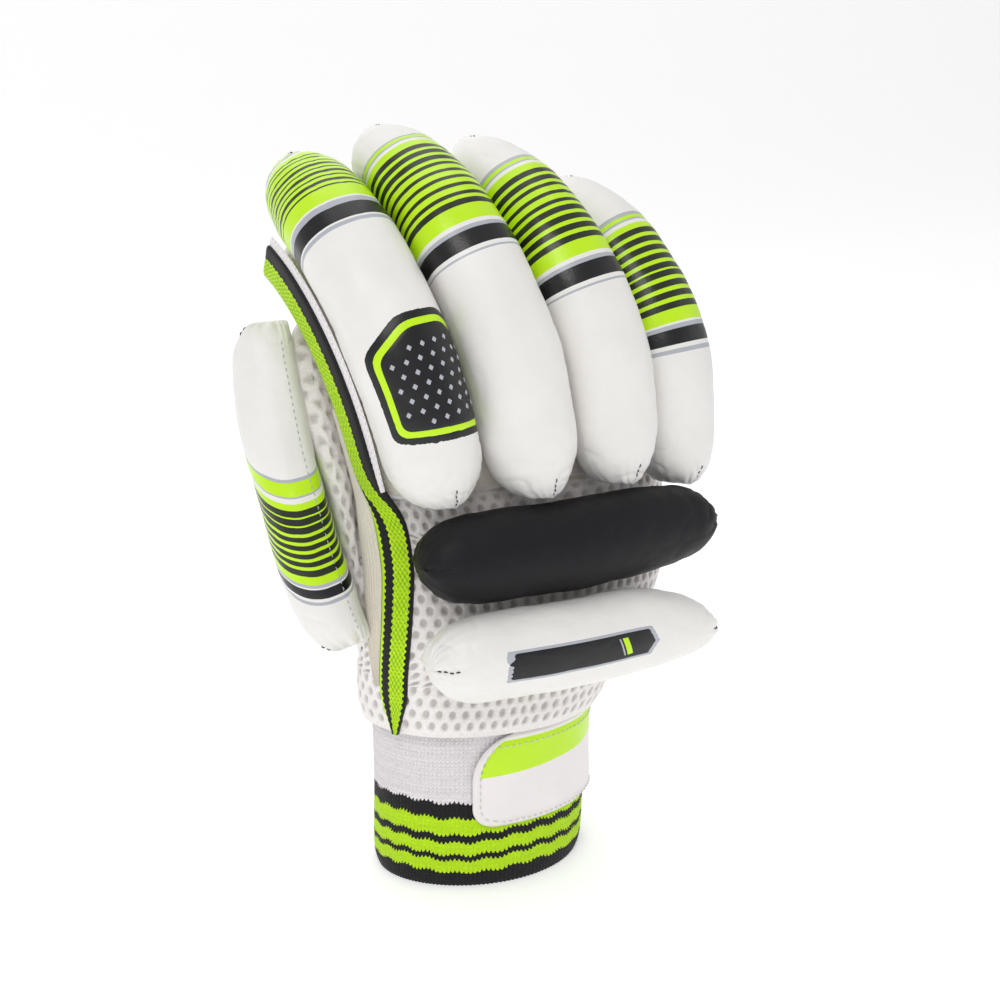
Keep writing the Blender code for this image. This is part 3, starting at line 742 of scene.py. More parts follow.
@dataclass(frozen=True)
class HandForm:
    """The hand shell, from the wrist to the knuckles."""

    wrist: float = 56.0
    knuckles: float = 136.0
    width: float = 120.0
    depth: float = 64.4
    back_wall: float = 3.0
    palm_wall: float = 2.0
    sections: tuple[HandSection, ...] = (
        HandSection(0.00, -0.364, 0.314, 1.012, 0.000, 0.000, 2.05),
        HandSection(0.20, -0.364, 0.405, 1.012, 0.000, 0.000, 2.05),
        HandSection(0.45, -0.361, 0.535, 0.800, -0.050, 0.020, 2.1),
        HandSection(0.72, -0.355, 0.590, 0.560, -0.060, 0.060, 2.4),
        HandSection(1.00, -0.360, 0.590, 0.390, -0.045, 0.110, 2.8),
    )

    def lining(self, turn: Array, height: Array) -> Array:
        """Points on the lining.

        Args:
            turn: Degrees from the little finger's side over the palm.
            height: Shares of the way from the wrist to the knuckles.

        Returns:
            The points.
        """
        turn, height = np.broadcast_arrays(np.radians(turn), np.asarray(height, float))
        power = 2.0 / column(self.sections, "square", height)
        wide, deep = squared(np.cos(turn), power), squared(np.sin(turn), power)
        low = column(self.sections, "thumb_side", height) * self.width
        high = column(self.sections, "little_side", height) * self.width
        depth = column(self.sections, "depth", height) * self.depth / 2
        centre = column(self.sections, "centre", height) * self.depth
        bow = column(self.sections, "bow", height) * self.depth
        x = (low + high) / 2 + wide * (high - low) / 2
        y = centre + bow * wide * wide + deep * depth
        z = self.wrist + height * (self.knuckles - self.wrist)
        return np.stack([x, y, z], axis=-1)

    def skin(self, turn: Array, height: Array, lift: Array) -> Array:
        """Points at a distance outside the lining.

        Args:
            turn: Degrees from the little finger's side over the palm.
            height: Shares of the way from the wrist to the knuckles.
            lift: Distances from the lining.

        Returns:
            The points.
        """
        turn, height = np.broadcast_arrays(np.asarray(turn, float), np.asarray(height, float))
        nudge, step = 0.4, 0.004
        round_it = self.lining(turn + nudge, height) - self.lining(turn - nudge, height)
        above = self.lining(turn, np.minimum(height + step, 1.0))
        below = self.lining(turn, np.maximum(height - step, 0.0))
        outward = unit(np.cross(round_it, above - below))
        return self.lining(turn, height) + outward * np.asarray(lift, float)[..., None]

    def back_at(self, x: Array, z: Array) -> Array:
        """The Y of the back panel's face over points of X and Z.

        Args:
            x: The points' X.
            z: The points' Z.

        Returns:
            The face's Y at each of them.
        """
        height = np.clip((z - self.wrist) / (self.knuckles - self.wrist), 0.0, 1.0)
        levels = np.linspace(0.0, 1.0, 81)
        turns = np.linspace(192.0, 348.0, 60)
        lines = self.skin(turns[None, :], levels[:, None], np.full((81, 60), self.back_wall))
        near = np.clip(np.round(height * 80).astype(int), 0, 80)
        found = np.empty(np.shape(x))
        for place in np.ndindex(np.shape(x)):
            line = lines[near[place]]
            found[place] = np.interp(x[place], line[:, 0], line[:, 1])
        return found


HAND = HandForm()


class FingerPlan(NamedTuple):
    """Where a finger starts and how it bends, with its print's places in millimetres from the knuckles."""

    name: str
    place: float
    length: float
    girth: float
    straight: float
    yaw: float
    lean: float
    pitch: float
    curl: float
    lead: float
    black_band: float
    lines_start: float
    lines_end: float
    dark_share: float
    black_width: float = 4.4


FINGERS = (
    FingerPlan("index", -0.240, 0.92, 1.00, 0.22, -8.0, 15.0, 2.0, 78.0, 0.0, 82.0, 92.5, 110.0, 0.38),
    FingerPlan("middle", 0.014, 0.99, 1.00, 0.22, 0.0, 11.0, 2.0, 78.0, 0.0, 72.6, 83.5, 107.5, 0.50),
    FingerPlan("ring", 0.275, 0.94, 0.97, 0.22, 8.0, 6.5, 2.0, 78.0, 0.0, 60.5, 71.0, 95.0, 0.54),
    FingerPlan("little", 0.522, 0.78, 0.93, 0.22, 16.0, 0.0, 2.0, 76.0, 6.0, 38.5, 47.5, 71.0, 0.62, 3.7),
)
THUMB = FingerPlan("thumb", 0.0, 1.0, 1.0, 0.05, -102.0, 16.0, -16.0, 14.0, 0.0, 26.8, 35.0, 57.4, 0.68, 3.5)
FINGER_LENGTH = 130.0
THUMB_LENGTH = 110.0
STALL_WIDTH = 31.0
THUMB_START = (-47.0, -3.0, 88.0)


class Spine:
    """A finger's line, where its roll meets its stall: straight at first, then bent round an arc."""

    def __init__(self, start: Sequence[float], plan: FingerPlan, length: float) -> None:
        """Sets the line out.

        Args:
            start: Its first point.
            plan: The finger's bends.
            length: The line's length.
        """
        turn, lean = radians(plan.yaw), radians(plan.lean)
        side = np.array((cos(turn), sin(turn), 0.0))
        self.start = np.array(start, float)
        self.back = np.array((sin(turn), -cos(turn), 0.0))
        self.rise = cos(lean) * UP - sin(lean) * side
        self.sideways = cos(lean) * side + sin(lean) * UP
        self.length = length
        self.straight = plan.straight * length
        self.pitch = radians(plan.pitch)
        self.radius = (length - self.straight) / radians(plan.curl)
        self.line = self.at(np.linspace(0.0, length, 40))[0]

    def at(self, along: Array) -> tuple[Array, Array, Array]:
        """Points, forward directions and outward directions at distances along the line.

        Args:
            along: The distances.

        Returns:
            The points, the forward directions and the outward directions.
        """
        along = np.atleast_1d(np.asarray(along, float))
        bent = np.clip(along - self.straight, 0.0, None)
        angle = (self.pitch + bent / self.radius)[:, None]
        flat = np.minimum(along, self.straight)[:, None]
        first = np.cos(self.pitch) * self.rise - np.sin(self.pitch) * self.back
        points = self.start + flat * first
        points = points + self.radius * (np.sin(angle) - np.sin(self.pitch)) * self.rise
        points = points - self.radius * (np.cos(self.pitch) - np.cos(angle)) * self.back
        forward = np.cos(angle) * self.rise - np.sin(angle) * self.back
        outward = np.cos(angle) * self.back + np.sin(angle) * self.rise
        return points, forward, outward

    def rings(self, along: Array, sideways: Array, outwards: Array) -> Array:
        """Rings of points from their offsets across and outwards at distances along the line.

        Args:
            along: The rings' distances along the line.
            sideways: Each point's offset across.
            outwards: Each point's offset outwards.

        Returns:
            The rings.
        """
        points, _, outward = self.at(along)
        across = sideways[:, :, None] * self.sideways
        return points[:, None, :] + across + outwards[:, :, None] * outward[:, None, :]


def finger_spines() -> dict[str, Spine]:
    """The four fingers' lines by name.

    Returns:
        The lines.
    """
    spines = {}
    for plan in FINGERS:
        x = plan.place * HAND.width
        y = HAND.back_at(np.array([x]), np.array([HAND.knuckles]))[0]
        spines[plan.name] = Spine((x, y, HAND.knuckles), plan, plan.length * FINGER_LENGTH)
    return spines


def nearest(points: Array, line: Array) -> Array:
    """The distance from each point to a line of points.

    Args:
        points: The points.
        line: The line's points.

    Returns:
        The distances.
    """
    flat = points.reshape(-1, 3)
    low, run = line[:-1], line[1:] - line[:-1]
    away = flat[:, None, :] - low[None]
    share = np.clip((away * run).sum(-1) / (run * run).sum(-1), 0.0, 1.0)
    gaps = away - share[..., None] * run
    return np.linalg.norm(gaps, axis=-1).min(axis=1).reshape(points.shape[:-1])


def hold_apart(points: Array, own: Spine, others: Sequence[Spine], gap: float = 0.5) -> Array:
    """Flattens a finger's points where they press into the fingers beside it.

    Args:
        points: The finger's points.
        own: Its line.
        others: The lines of the fingers beside it.
        gap: Twice the room that it leaves to the seam's middle.

    Returns:
        The points, moved sideways.
    """
    for _ in range(9):
        mine = nearest(points, own.line)
        for other in others:
            pressed = np.clip(mine - nearest(points, other.line) + gap, 0.0, None)
            side = np.sign((other.start - own.start) @ own.sideways)
            points = points - side * (0.9 * pressed)[..., None] * own.sideways
    return points


def beside(name: str, spines: dict[str, Spine]) -> list[Spine]:
    """The lines of the fingers on both sides of one.

    Args:
        name: The finger's name.
        spines: The fingers' lines.

    Returns:
        One line or two.
    """
    names = [plan.name for plan in FINGERS]
    number = names.index(name)
    return [spines[other] for other in names[max(number - 1, 0) : number + 2] if other != name]


def body(rings: Array) -> tuple[BVHTree, float]:
    """A search tree over a lofted body, with the sign that makes its normals face out.

    Args:
        rings: The body's rings.

    Returns:
        The tree and the sign.
    """
    tree = BVHTree.FromPolygons(
        [Vector(point) for point in rings.reshape(-1, 3)], grid_faces(len(rings), rings.shape[1], True)
    )
    inside = Vector(rings[len(rings) // 2].mean(axis=0))
    near, normal, _, _ = tree.find_nearest(inside)
    return tree, 1.0 if (near - inside).dot(normal) > 0 else -1.0


def keep_clear(points: Array, bodies: Sequence[tuple[BVHTree, float]], gap: float) -> Array:
    """Moves points that are in a body, or nearer to it than the gap, out to the gap from it.

    Args:
        points: The points.
        bodies: The bodies and their signs.
        gap: The gap.

    Returns:
        The moved points.
    """
    moved = points.copy()
    for place in np.ndindex(points.shape[:-1]):
        point = Vector(points[place])
        for _ in range(2):
            for tree, sign in bodies:
                near, normal, _, _ = tree.find_nearest(point)
                if (point - near).dot(normal * sign) < gap:
                    point = near + normal * sign * gap
        moved[place] = point
    return moved


class PadSection(NamedTuple):
    """A section of a padded roll: its end seams close it along its width and leave it deep."""

    along: float
    width: float
    depth: float


PAD_SECTIONS = (
    PadSection(0.000, 0.05, 0.50),
    PadSection(0.010, 0.34, 0.60),
    PadSection(0.032, 0.60, 0.74),
    PadSection(0.070, 0.82, 0.88),
    PadSection(0.125, 0.95, 0.97),
    PadSection(0.220, 1.00, 1.00),
    PadSection(0.440, 1.00, 1.00),
    PadSection(0.660, 1.00, 1.00),
    PadSection(0.760, 0.99, 0.99),
    PadSection(0.850, 0.95, 0.96),
    PadSection(0.920, 0.84, 0.90),
    PadSection(0.965, 0.63, 0.76),
    PadSection(0.990, 0.35, 0.62),
    PadSection(1.000, 0.05, 0.50),
)
PAD_ROWS = 150
PAD_SIDES = 96


PAD_ANGLE = np.linspace(-pi / 2, 1.5 * pi, PAD_SIDES, endpoint=False)


def pad_shares() -> Array:
    """Shares along a roll, closer together at its ends."""
    t = np.linspace(0.0, 1.0, PAD_ROWS)
    return 0.35 * t + 0.65 * (0.5 - 0.5 * np.cos(pi * t))


def roll_rings(
    spine: Spine, plan: FingerPlan, width: float, thickness: float, seat: float = 0.0, mesh_side: float = 1.0
) -> Array:
    """Rings of a roll along a finger's line, flatter on the side towards its stall.

    Args:
        spine: The finger's line.
        plan: The finger's girth and how far its roll starts before the line.
        width: The roll's width at a girth of one.
        thickness: Its thickness at a girth of one.
        seat: The share of the way that its thin ends come down to the stall.
        mesh_side: The share of its half width that is left on the mesh side.

    Returns:
        The rings.
    """
    shares = pad_shares()
    thick = thickness * plan.girth
    wide = column(PAD_SECTIONS, "width", shares)[:, None] * width * plan.girth / 2
    deep = column(PAD_SECTIONS, "depth", shares)[:, None] * thick / 2
    lift, side = np.sin(PAD_ANGLE), np.cos(PAD_ANGLE)
    flattened = np.where(lift < 0, -np.abs(lift) ** 0.6, lift)
    outwards = GAP / 2 + thick / 2 + deep * flattened - (thick / 2 - deep) * seat
    sideways = wide * (side * np.where(side > 0, mesh_side, 1.0))
    return spine.rings(shares * (spine.length + plan.lead) - plan.lead, sideways, outwards)


@dataclass
class PaddedRoll:
    """A foam roll in leather: soft dents along it, gathers and a pinched seam at its ends."""

    name: str
    skin: Skin
    seed: float
    dents: float = 0.75
    gather: float = 0.55
    pinch: float = 1.1
    seam_reach: float = 11.0
    slot: str = "white_leather"
    thread: Thread = SEAM_THREAD
    fill: float = 0.85
    dent_size: float = 21.0
    crease_size: float = 11.0
    ripple_size: float = 7.0
    crease_depth: float = 0.12
    end_creases: float = 0.55
    end_reach: float = 16.0
    gather_reach: float = 5.0
    half_round: float = 14.0
    seam_half: float = 1.3
    seam_inset: float = 1.2

    def dress_form(self) -> None:
        """Adds the dents, gathers and end seams to the smooth form."""
        skin = self.skin
        length = skin.along[-1]
        from_end = np.minimum(skin.along, length - skin.along)[:, None]
        ring = np.linspace(-pi, pi, skin.points.shape[1], endpoint=False)[None, :]
        soft = roughen(skin.points, self.dent_size, self.seed) * self.dents
        stretched = skin.points * (1.0, 1.0, 1.6)
        creased = 1.0 - np.abs(roughen(stretched, self.crease_size, self.seed + 5.0)) * 3.2
        fine = roughen(skin.points, self.ripple_size, self.seed + 9.0) * self.dents * 0.22
        near_end = np.exp(-from_end / self.end_reach)
        fine = fine - np.clip(creased, 0.0, 1.0) ** 3 * (self.crease_depth + self.end_creases * near_end)
        folds = np.cos(17 * ring + 2.0 * np.sin(5 * ring + self.seed))
        folds = folds * np.exp(-from_end / self.gather_reach)
        folds = folds * ramp01(from_end, 0.5, 3.0) * self.gather
        across = np.abs(ring) * self.half_round
        seam = -self.pinch * np.exp(-((across / self.seam_half) ** 2))
        seam = seam * np.exp(-from_end / (0.55 * self.seam_reach))
        skin.push((soft + fine) * ramp01(from_end, 0.0, 8.0) + folds + seam)

    def stitching(self) -> Trim:
        """The stitches that close each end on the crown.

        Returns:
            The stitches.
        """
        trim = Trim(self.name + "_stitching")
        far = self.skin.along[-1]
        ends = ((self.seam_inset, self.seam_reach), (far - self.seam_inset, far - self.seam_reach))
        for start, end in ends:
            steps = np.linspace(start, end, 12)
            path = np.stack([steps, 0.35 * np.sin(steps * 1.3)], axis=-1)
            trim.stitches(self.skin, path, 2.1, 0.7, 0.24)
        return trim

    def build(self, finish: PressedLeather, attributes: Optional[dict] = None) -> None:
        """Builds the roll over its solid, with its stitching.

        Args:
            finish: Its leather.
            attributes: Named values for each point.
        """
        piece = self.skin.object(self.name + "_cover", attributes, ends=True)
        dress(piece, finish, self.slot, self.name)
        dress(self.stitching().object(), self.thread, self.slot)


@dataclass(frozen=True)
class LinePrint:
    """A roll's print: a black band between thin lines, then a ladder of dark lines on neon.

    The starts under and over the black band are distances from its two edges, and those past the ladder
    are distances from its end.
    """

    lines: int
    under: tuple[Band, ...]
    over: tuple[Band, ...]
    past: tuple[Band, ...]

    def bands(self, plan: FingerPlan) -> tuple[Band, ...]:
        """The bands at a finger's own places, from the knuckles to the tip.

        Args:
            plan: The finger.

        Returns:
            The bands in order.
        """
        foot = plan.black_band
        made = [Band(0.0, Ink.WHITE), *moved(self.under, foot), Band(foot, Ink.BLACK)]
        made += moved(self.over, foot + plan.black_width)
        pitch = (plan.lines_end - plan.lines_start) / self.lines
        for number in range(self.lines):
            start = plan.lines_start + number * pitch
            made += [Band(start, Ink.DARK), Band(start + plan.dark_share * pitch, Ink.NEON)]
        return tuple(made + moved(self.past, plan.lines_end))


def moved(bands: Sequence[Band], distance: float) -> list[Band]:
    """The same bands, each a distance further on."""
    return [Band(distance + band.start, band.ink) for band in bands]


FINGER_PRINT = LinePrint(
    lines=9,
    under=(Band(-1.9, Ink.GREY), Band(-1.0, Ink.WHITE)),
    over=(Band(0.0, Ink.GREY), Band(1.2, Ink.WHITE), Band(1.9, Ink.NEON)),
    past=(
        Band(1.0, Ink.WHITE),
        Band(2.0, Ink.GREY),
        Band(2.7, Ink.NEON),
        Band(3.9, Ink.GREY),
        Band(4.6, Ink.WHITE),
    ),
)
THUMB_PRINT = LinePrint(
    lines=8,
    under=(Band(-1.7, Ink.GREY), Band(-0.9, Ink.WHITE)),
    over=(Band(0.0, Ink.WHITE), Band(0.7, Ink.GREY), Band(1.7, Ink.NEON)),
    past=(
        Band(1.3, Ink.WHITE),
        Band(2.8, Ink.GREY),
        Band(3.8, Ink.NEON),
        Band(7.9, Ink.GREY),
        Band(8.9, Ink.WHITE),
    ),
)


@dataclass(frozen=True)
class Badge:
    """The dark badge on the index roll: a neon border round a plain field of small diamonds."""

    middle: float = 45.5
    aside: float = -6.0
    half_height: float = 23.8
    half_width: float = 23.2
    round: float = 4.0
    corners: tuple[tuple[float, float], ...] = (
        (-1.0, -0.68),
        (-0.72, 0.98),
        (0.62, 1.0),
        (1.0, 0.35),
        (0.97, -0.42),
        (0.52, -1.0),
    )
    row_pitch: float = 4.0
    place_pitch: float = 4.6
    diamond: tuple[float, float] = (1.7, 1.5)
    field_share: float = 0.66

    def lay(self, skin: Skin, slot: str) -> None:
        """Lays the badge on a roll.

        Args:
            skin: The roll's surface.
            slot: The record's material slot.
        """
        corners = [(self.middle + h * self.half_height, w * self.half_width) for h, w in self.corners]
        outline = rounded_outline(corners, self.round) + (0.0, self.aside)
        centre = outline.mean(axis=0)
        reach = outline - centre
        for label, size, ink, lift in (
            ("badge_ground", 1.0, Ink.BLACK, 0.18),
            ("badge_border", 0.90, Ink.NEON, 0.26),
            ("badge_field", 0.80, Ink.BLACK, 0.34),
        ):
            lay_print(label, skin, centre + reach * size, ink, lift, 16, slot)
        trim = Trim("badge_diamonds")
        high, wide = self.diamond
        points = [(high, 0.0), (0.0, wide), (-high, 0.0), (0.0, -wide)]
        for row, place in product(range(-3, 4), repeat=2):
            stagger = (row % 2) * self.place_pitch / 2
            spot = centre + (row * self.row_pitch, place * self.place_pitch + stagger)
            if inside(spot, centre + reach * self.field_share):
                shape = rounded_outline([tuple(spot + point) for point in points], 0.3, 3)
                trim.add(*skin.patch(shape, 0.48, 2))
        dress(trim.object(), Film("badge_grey_ink", Ink.GREY), slot)


@dataclass
class FingerRolls:
    """The four padded rolls on the fingers' backs, pressed flat where they meet, and the badge on one."""

    spines: dict[str, Spine]
    width: float = 33.0
    thickness: float = 27.0
    badge: Badge = Badge()

    def build(self) -> None:
        """Builds the rolls with their stitching."""
        for number, plan in enumerate(FINGERS):
            spine = self.spines[plan.name]
            rings = roll_rings(spine, plan, self.width, self.thickness)
            skin = Skin(hold_apart(rings, spine, beside(plan.name, self.spines)), closed=True)
            facing(skin)
            roll = PaddedRoll(plan.name + "_roll", skin, seed=3.0 + 7.0 * number)
            roll.dress_form()
            line = pad_shares() * (spine.length + plan.lead) - plan.lead
            run = np.broadcast_to(np.maximum(line, 0.0)[:, None], skin.points.shape[:2])
            finish = PressedLeather(plan.name + "_roll_leather", Ink.WHITE, FINGER_PRINT.bands(plan))
            roll.build(finish, {"run": run})
            if plan.name == "index":
                self.badge.lay(skin, roll.slot)


def inside(point: Array, outline: Array) -> bool:
    """Whether a point lies in an outline.

    Args:
        point: The point.
        outline: The outline's corners.

    Returns:
        True where it does.
    """
    count = 0
    for number in range(len(outline)):
        a, b = outline[number - 1], outline[number]
        if (a[0] > point[0]) != (b[0] > point[0]):
            count += point[1] < a[1] + (point[0] - a[0]) / (b[0] - a[0]) * (b[1] - a[1])
    return count % 2 == 1


def facing(skin: Skin) -> None:
    """Turns a closed skin's normals outward.

    Args:
        skin: The skin.
    """
    row = skin.points.shape[0] // 2
    away = skin.points[row] - skin.points[row].mean(axis=0)
    if (away * skin.normals[row]).sum() < 0:
        skin.outward = -skin.outward
        skin.measure()


def face_level(skin: Skin, middle: Array) -> None:
    """Turns an open skin's normals away from an upright line through a point."""
    if ((skin.points - middle) * skin.normals * (1.0, 1.0, 0.0)).sum() < 0:
        skin.outward = -1.0
        skin.measure()


@dataclass
class Bolster:
    """A padded roll across the back of the hand."""

    name: str
    place: float
    level: float
    length: float
    height: float
    taper: float
    droop: float
    finish: PressedLeather
    slot: str
    seed: float
    thickness: float = 27.0
    bow: float = 7.0

    def form(self) -> Skin:
        """The smooth form, with its inner side along the back panel.

        Returns:
            Its surface.
        """
        share = pad_shares()
        middle = self.place * HAND.width
        x = middle + (share - 0.5) * self.length
        crown = HAND.back_at(np.array([middle]), np.array([self.level]))[0]
        y = crown - GAP - self.thickness / 2 + self.bow * (2 * share - 1) ** 2
        run = unit(np.stack([np.gradient(x), np.gradient(y)], axis=-1))
        outward = np.stack([run[:, 1], -run[:, 0]], axis=-1)
        far = np.clip((share - 0.55) / 0.45, 0.0, 1.0)
        wide = column(PAD_SECTIONS, "width", share) * (1.0 - self.taper * far**2)
        tall = wide[:, None] * self.height / 2
        deep = column(PAD_SECTIONS, "depth", share)[:, None] * self.thickness / 2
        rings = np.empty((len(x), PAD_SIDES, 3))
        rings[..., 0] = x[:, None] + outward[:, :1] * deep * np.sin(PAD_ANGLE)
        rings[..., 1] = y[:, None] + outward[:, 1:] * deep * np.sin(PAD_ANGLE)
        rings[..., 2] = self.level - (self.droop * far**2)[:, None] + tall * np.cos(PAD_ANGLE)
        rest = HAND.back_at(rings[..., 0], rings[..., 2]) - GAP
        rings[..., 1] = np.minimum(rings[..., 1], rest)
        skin = Skin(rings, closed=True)
        facing(skin)
        return skin

    def build(self) -> Skin:
        """Builds the roll with its stitching.

        Returns:
            Its surface.
        """
        skin = self.form()
        roll = PaddedRoll(
            self.name, skin, self.seed, dents=0.8, gather=0.45, slot=self.slot, thread=DARK_THREAD
        )
        roll.dress_form()
        roll.build(self.finish)
        return skin


@dataclass(frozen=True)
class Label:
    """A bare printed label: a dark slanted panel in a grey line, with a slash and a notched end."""

    left: float = 23.0
    right: float = 85.5
    low: float = -5.8
    high: float = 5.2
    line: float = 0.8
    slash_low: float = -3.9
    slash_high: float = 3.5
    slash_lean: float = 2.6

    def lay(self, skin: Skin, slot: str) -> None:
        """Lays the label on a roll.

        Args:
            skin: The roll's surface.
            slot: The record's material slot.
        """
        panels = (("label_edge", 0.0, Ink.GREY, 0.18), ("label_panel", self.line, Ink.BLACK, 0.26))
        for name, inset, ink, lift in panels:
            low, high = self.low + inset, self.high - inset
            left, right = self.left + inset, self.right - inset
            corners = [(left + 0.6, low), (left - 0.8, high), (right - 3.5, high), (right - 1.4, 1.2)]
            corners += [(right, 0.2), (right - 3.0, low)]
            lay_print(name, skin, rounded_outline(corners, 0.8, 4), ink, lift, 10, slot)
        slashes = (("label_slash", 68.5, 1.5, Ink.NEON), ("label_slash_pale", 66.2, 0.4, Ink.GREY))
        for name, at, half, ink in slashes:
            corners = [(at - half, self.slash_low), (at - half + self.slash_lean, self.slash_high)]
            corners += [(at + half + self.slash_lean, self.slash_high), (at + half, self.slash_low)]
            lay_print(name, skin, rounded_outline(corners, 0.2, 3), ink, 0.34, 4, slot)


@dataclass
class ThumbRoll:
    """The thumb's padded roll, with slanted printed bands."""

    spine: Spine
    width: float = 32.0
    thickness: float = 22.0
    seat: float = 0.8
    mesh_side: float = 0.74
    edge_seam: float = -22.5
    edge_seam_inset: float = 9.0
    band_slant: float = -0.75

    def build(self) -> None:
        """Builds the roll."""
        rings = roll_rings(self.spine, THUMB, self.width, self.thickness, self.seat, self.mesh_side)
        skin = Skin(rings, closed=True)
        facing(skin)
        roll = PaddedRoll("thumb_roll", skin, 41.0, dents=0.8, gather=0.95, seam_reach=8.0, fill=0.8)
        roll.dress_form()
        sideways = (skin.points - self.spine.start) @ self.spine.sideways
        run = pad_shares()[:, None] * self.spine.length - self.band_slant * sideways
        finish = PressedLeather("thumb_roll_leather", Ink.WHITE, THUMB_PRINT.bands(THUMB))
        roll.build(finish, {"run": np.maximum(run, 0.0)})
        edge = Trim("thumb_roll_edge_stitching")
        span = (self.edge_seam_inset, skin.along[-1] - self.edge_seam_inset)
        edge.row(skin, span, self.edge_seam, 60, 2.4, 0.5, 0.2)
        dress(edge.object(), GREY_THREAD, roll.slot)


@dataclass(frozen=True)
class HolePattern:
    """Staggered rows of oval holes in the air mesh."""

    pitch_along: float = 8.4
    pitch_across: float = 4.8
    half_along: float = 1.6
    half_across: float = 1.32
    depth: float = 0.95

    def share(self, along: Array, across: Array) -> Array:
        """How far into a hole each point is, from 0 on the threads to 1 at the bottom.

        Args:
            along: Distances along the rows' stagger, in millimetres.
            across: Distances along the rows, in millimetres.

        Returns:
            The shares.
        """
        half = self.pitch_along / 2
        row = np.round(along / half)
        near = np.zeros(np.broadcast(along, across).shape)
        for step in (-1, 0, 1):
            line = row + step
            offset = np.where(np.mod(line, 2) == 0, 0.0, 0.5) * self.pitch_across
            place = np.round((across - offset) / self.pitch_across) * self.pitch_across + offset
            up, aside = (along - line * half) / self.half_along, (across - place) / self.half_across
            near = np.maximum(near, 1.0 - ramp01(np.sqrt(up**2 + aside**2), 0.62, 1.12))
        return near


@dataclass
class HandPanel:
    """A panel of the hand shell between two seams."""

    wall: float
    start: Callable[[Array], Array]
    end: Callable[[Array], Array]
    rows: int
    columns: int

    def skin(self) -> Skin:
        """The panel's outer face.

        Returns:
            Its surface.
        """
        height = np.linspace(0.004, 0.992, self.rows)
        share = np.linspace(0.0, 1.0, self.columns)
        start, end = self.start(height)[:, None], self.end(height)[:, None]
        turn = start + (end - start) * share[None, :]
        level = np.broadcast_to(height[:, None], turn.shape)
        skin = Skin(HAND.skin(turn, level, np.full(turn.shape, self.wall)))
        face_level(skin, np.array((0.0, -5.0, 0.0)))
        return skin


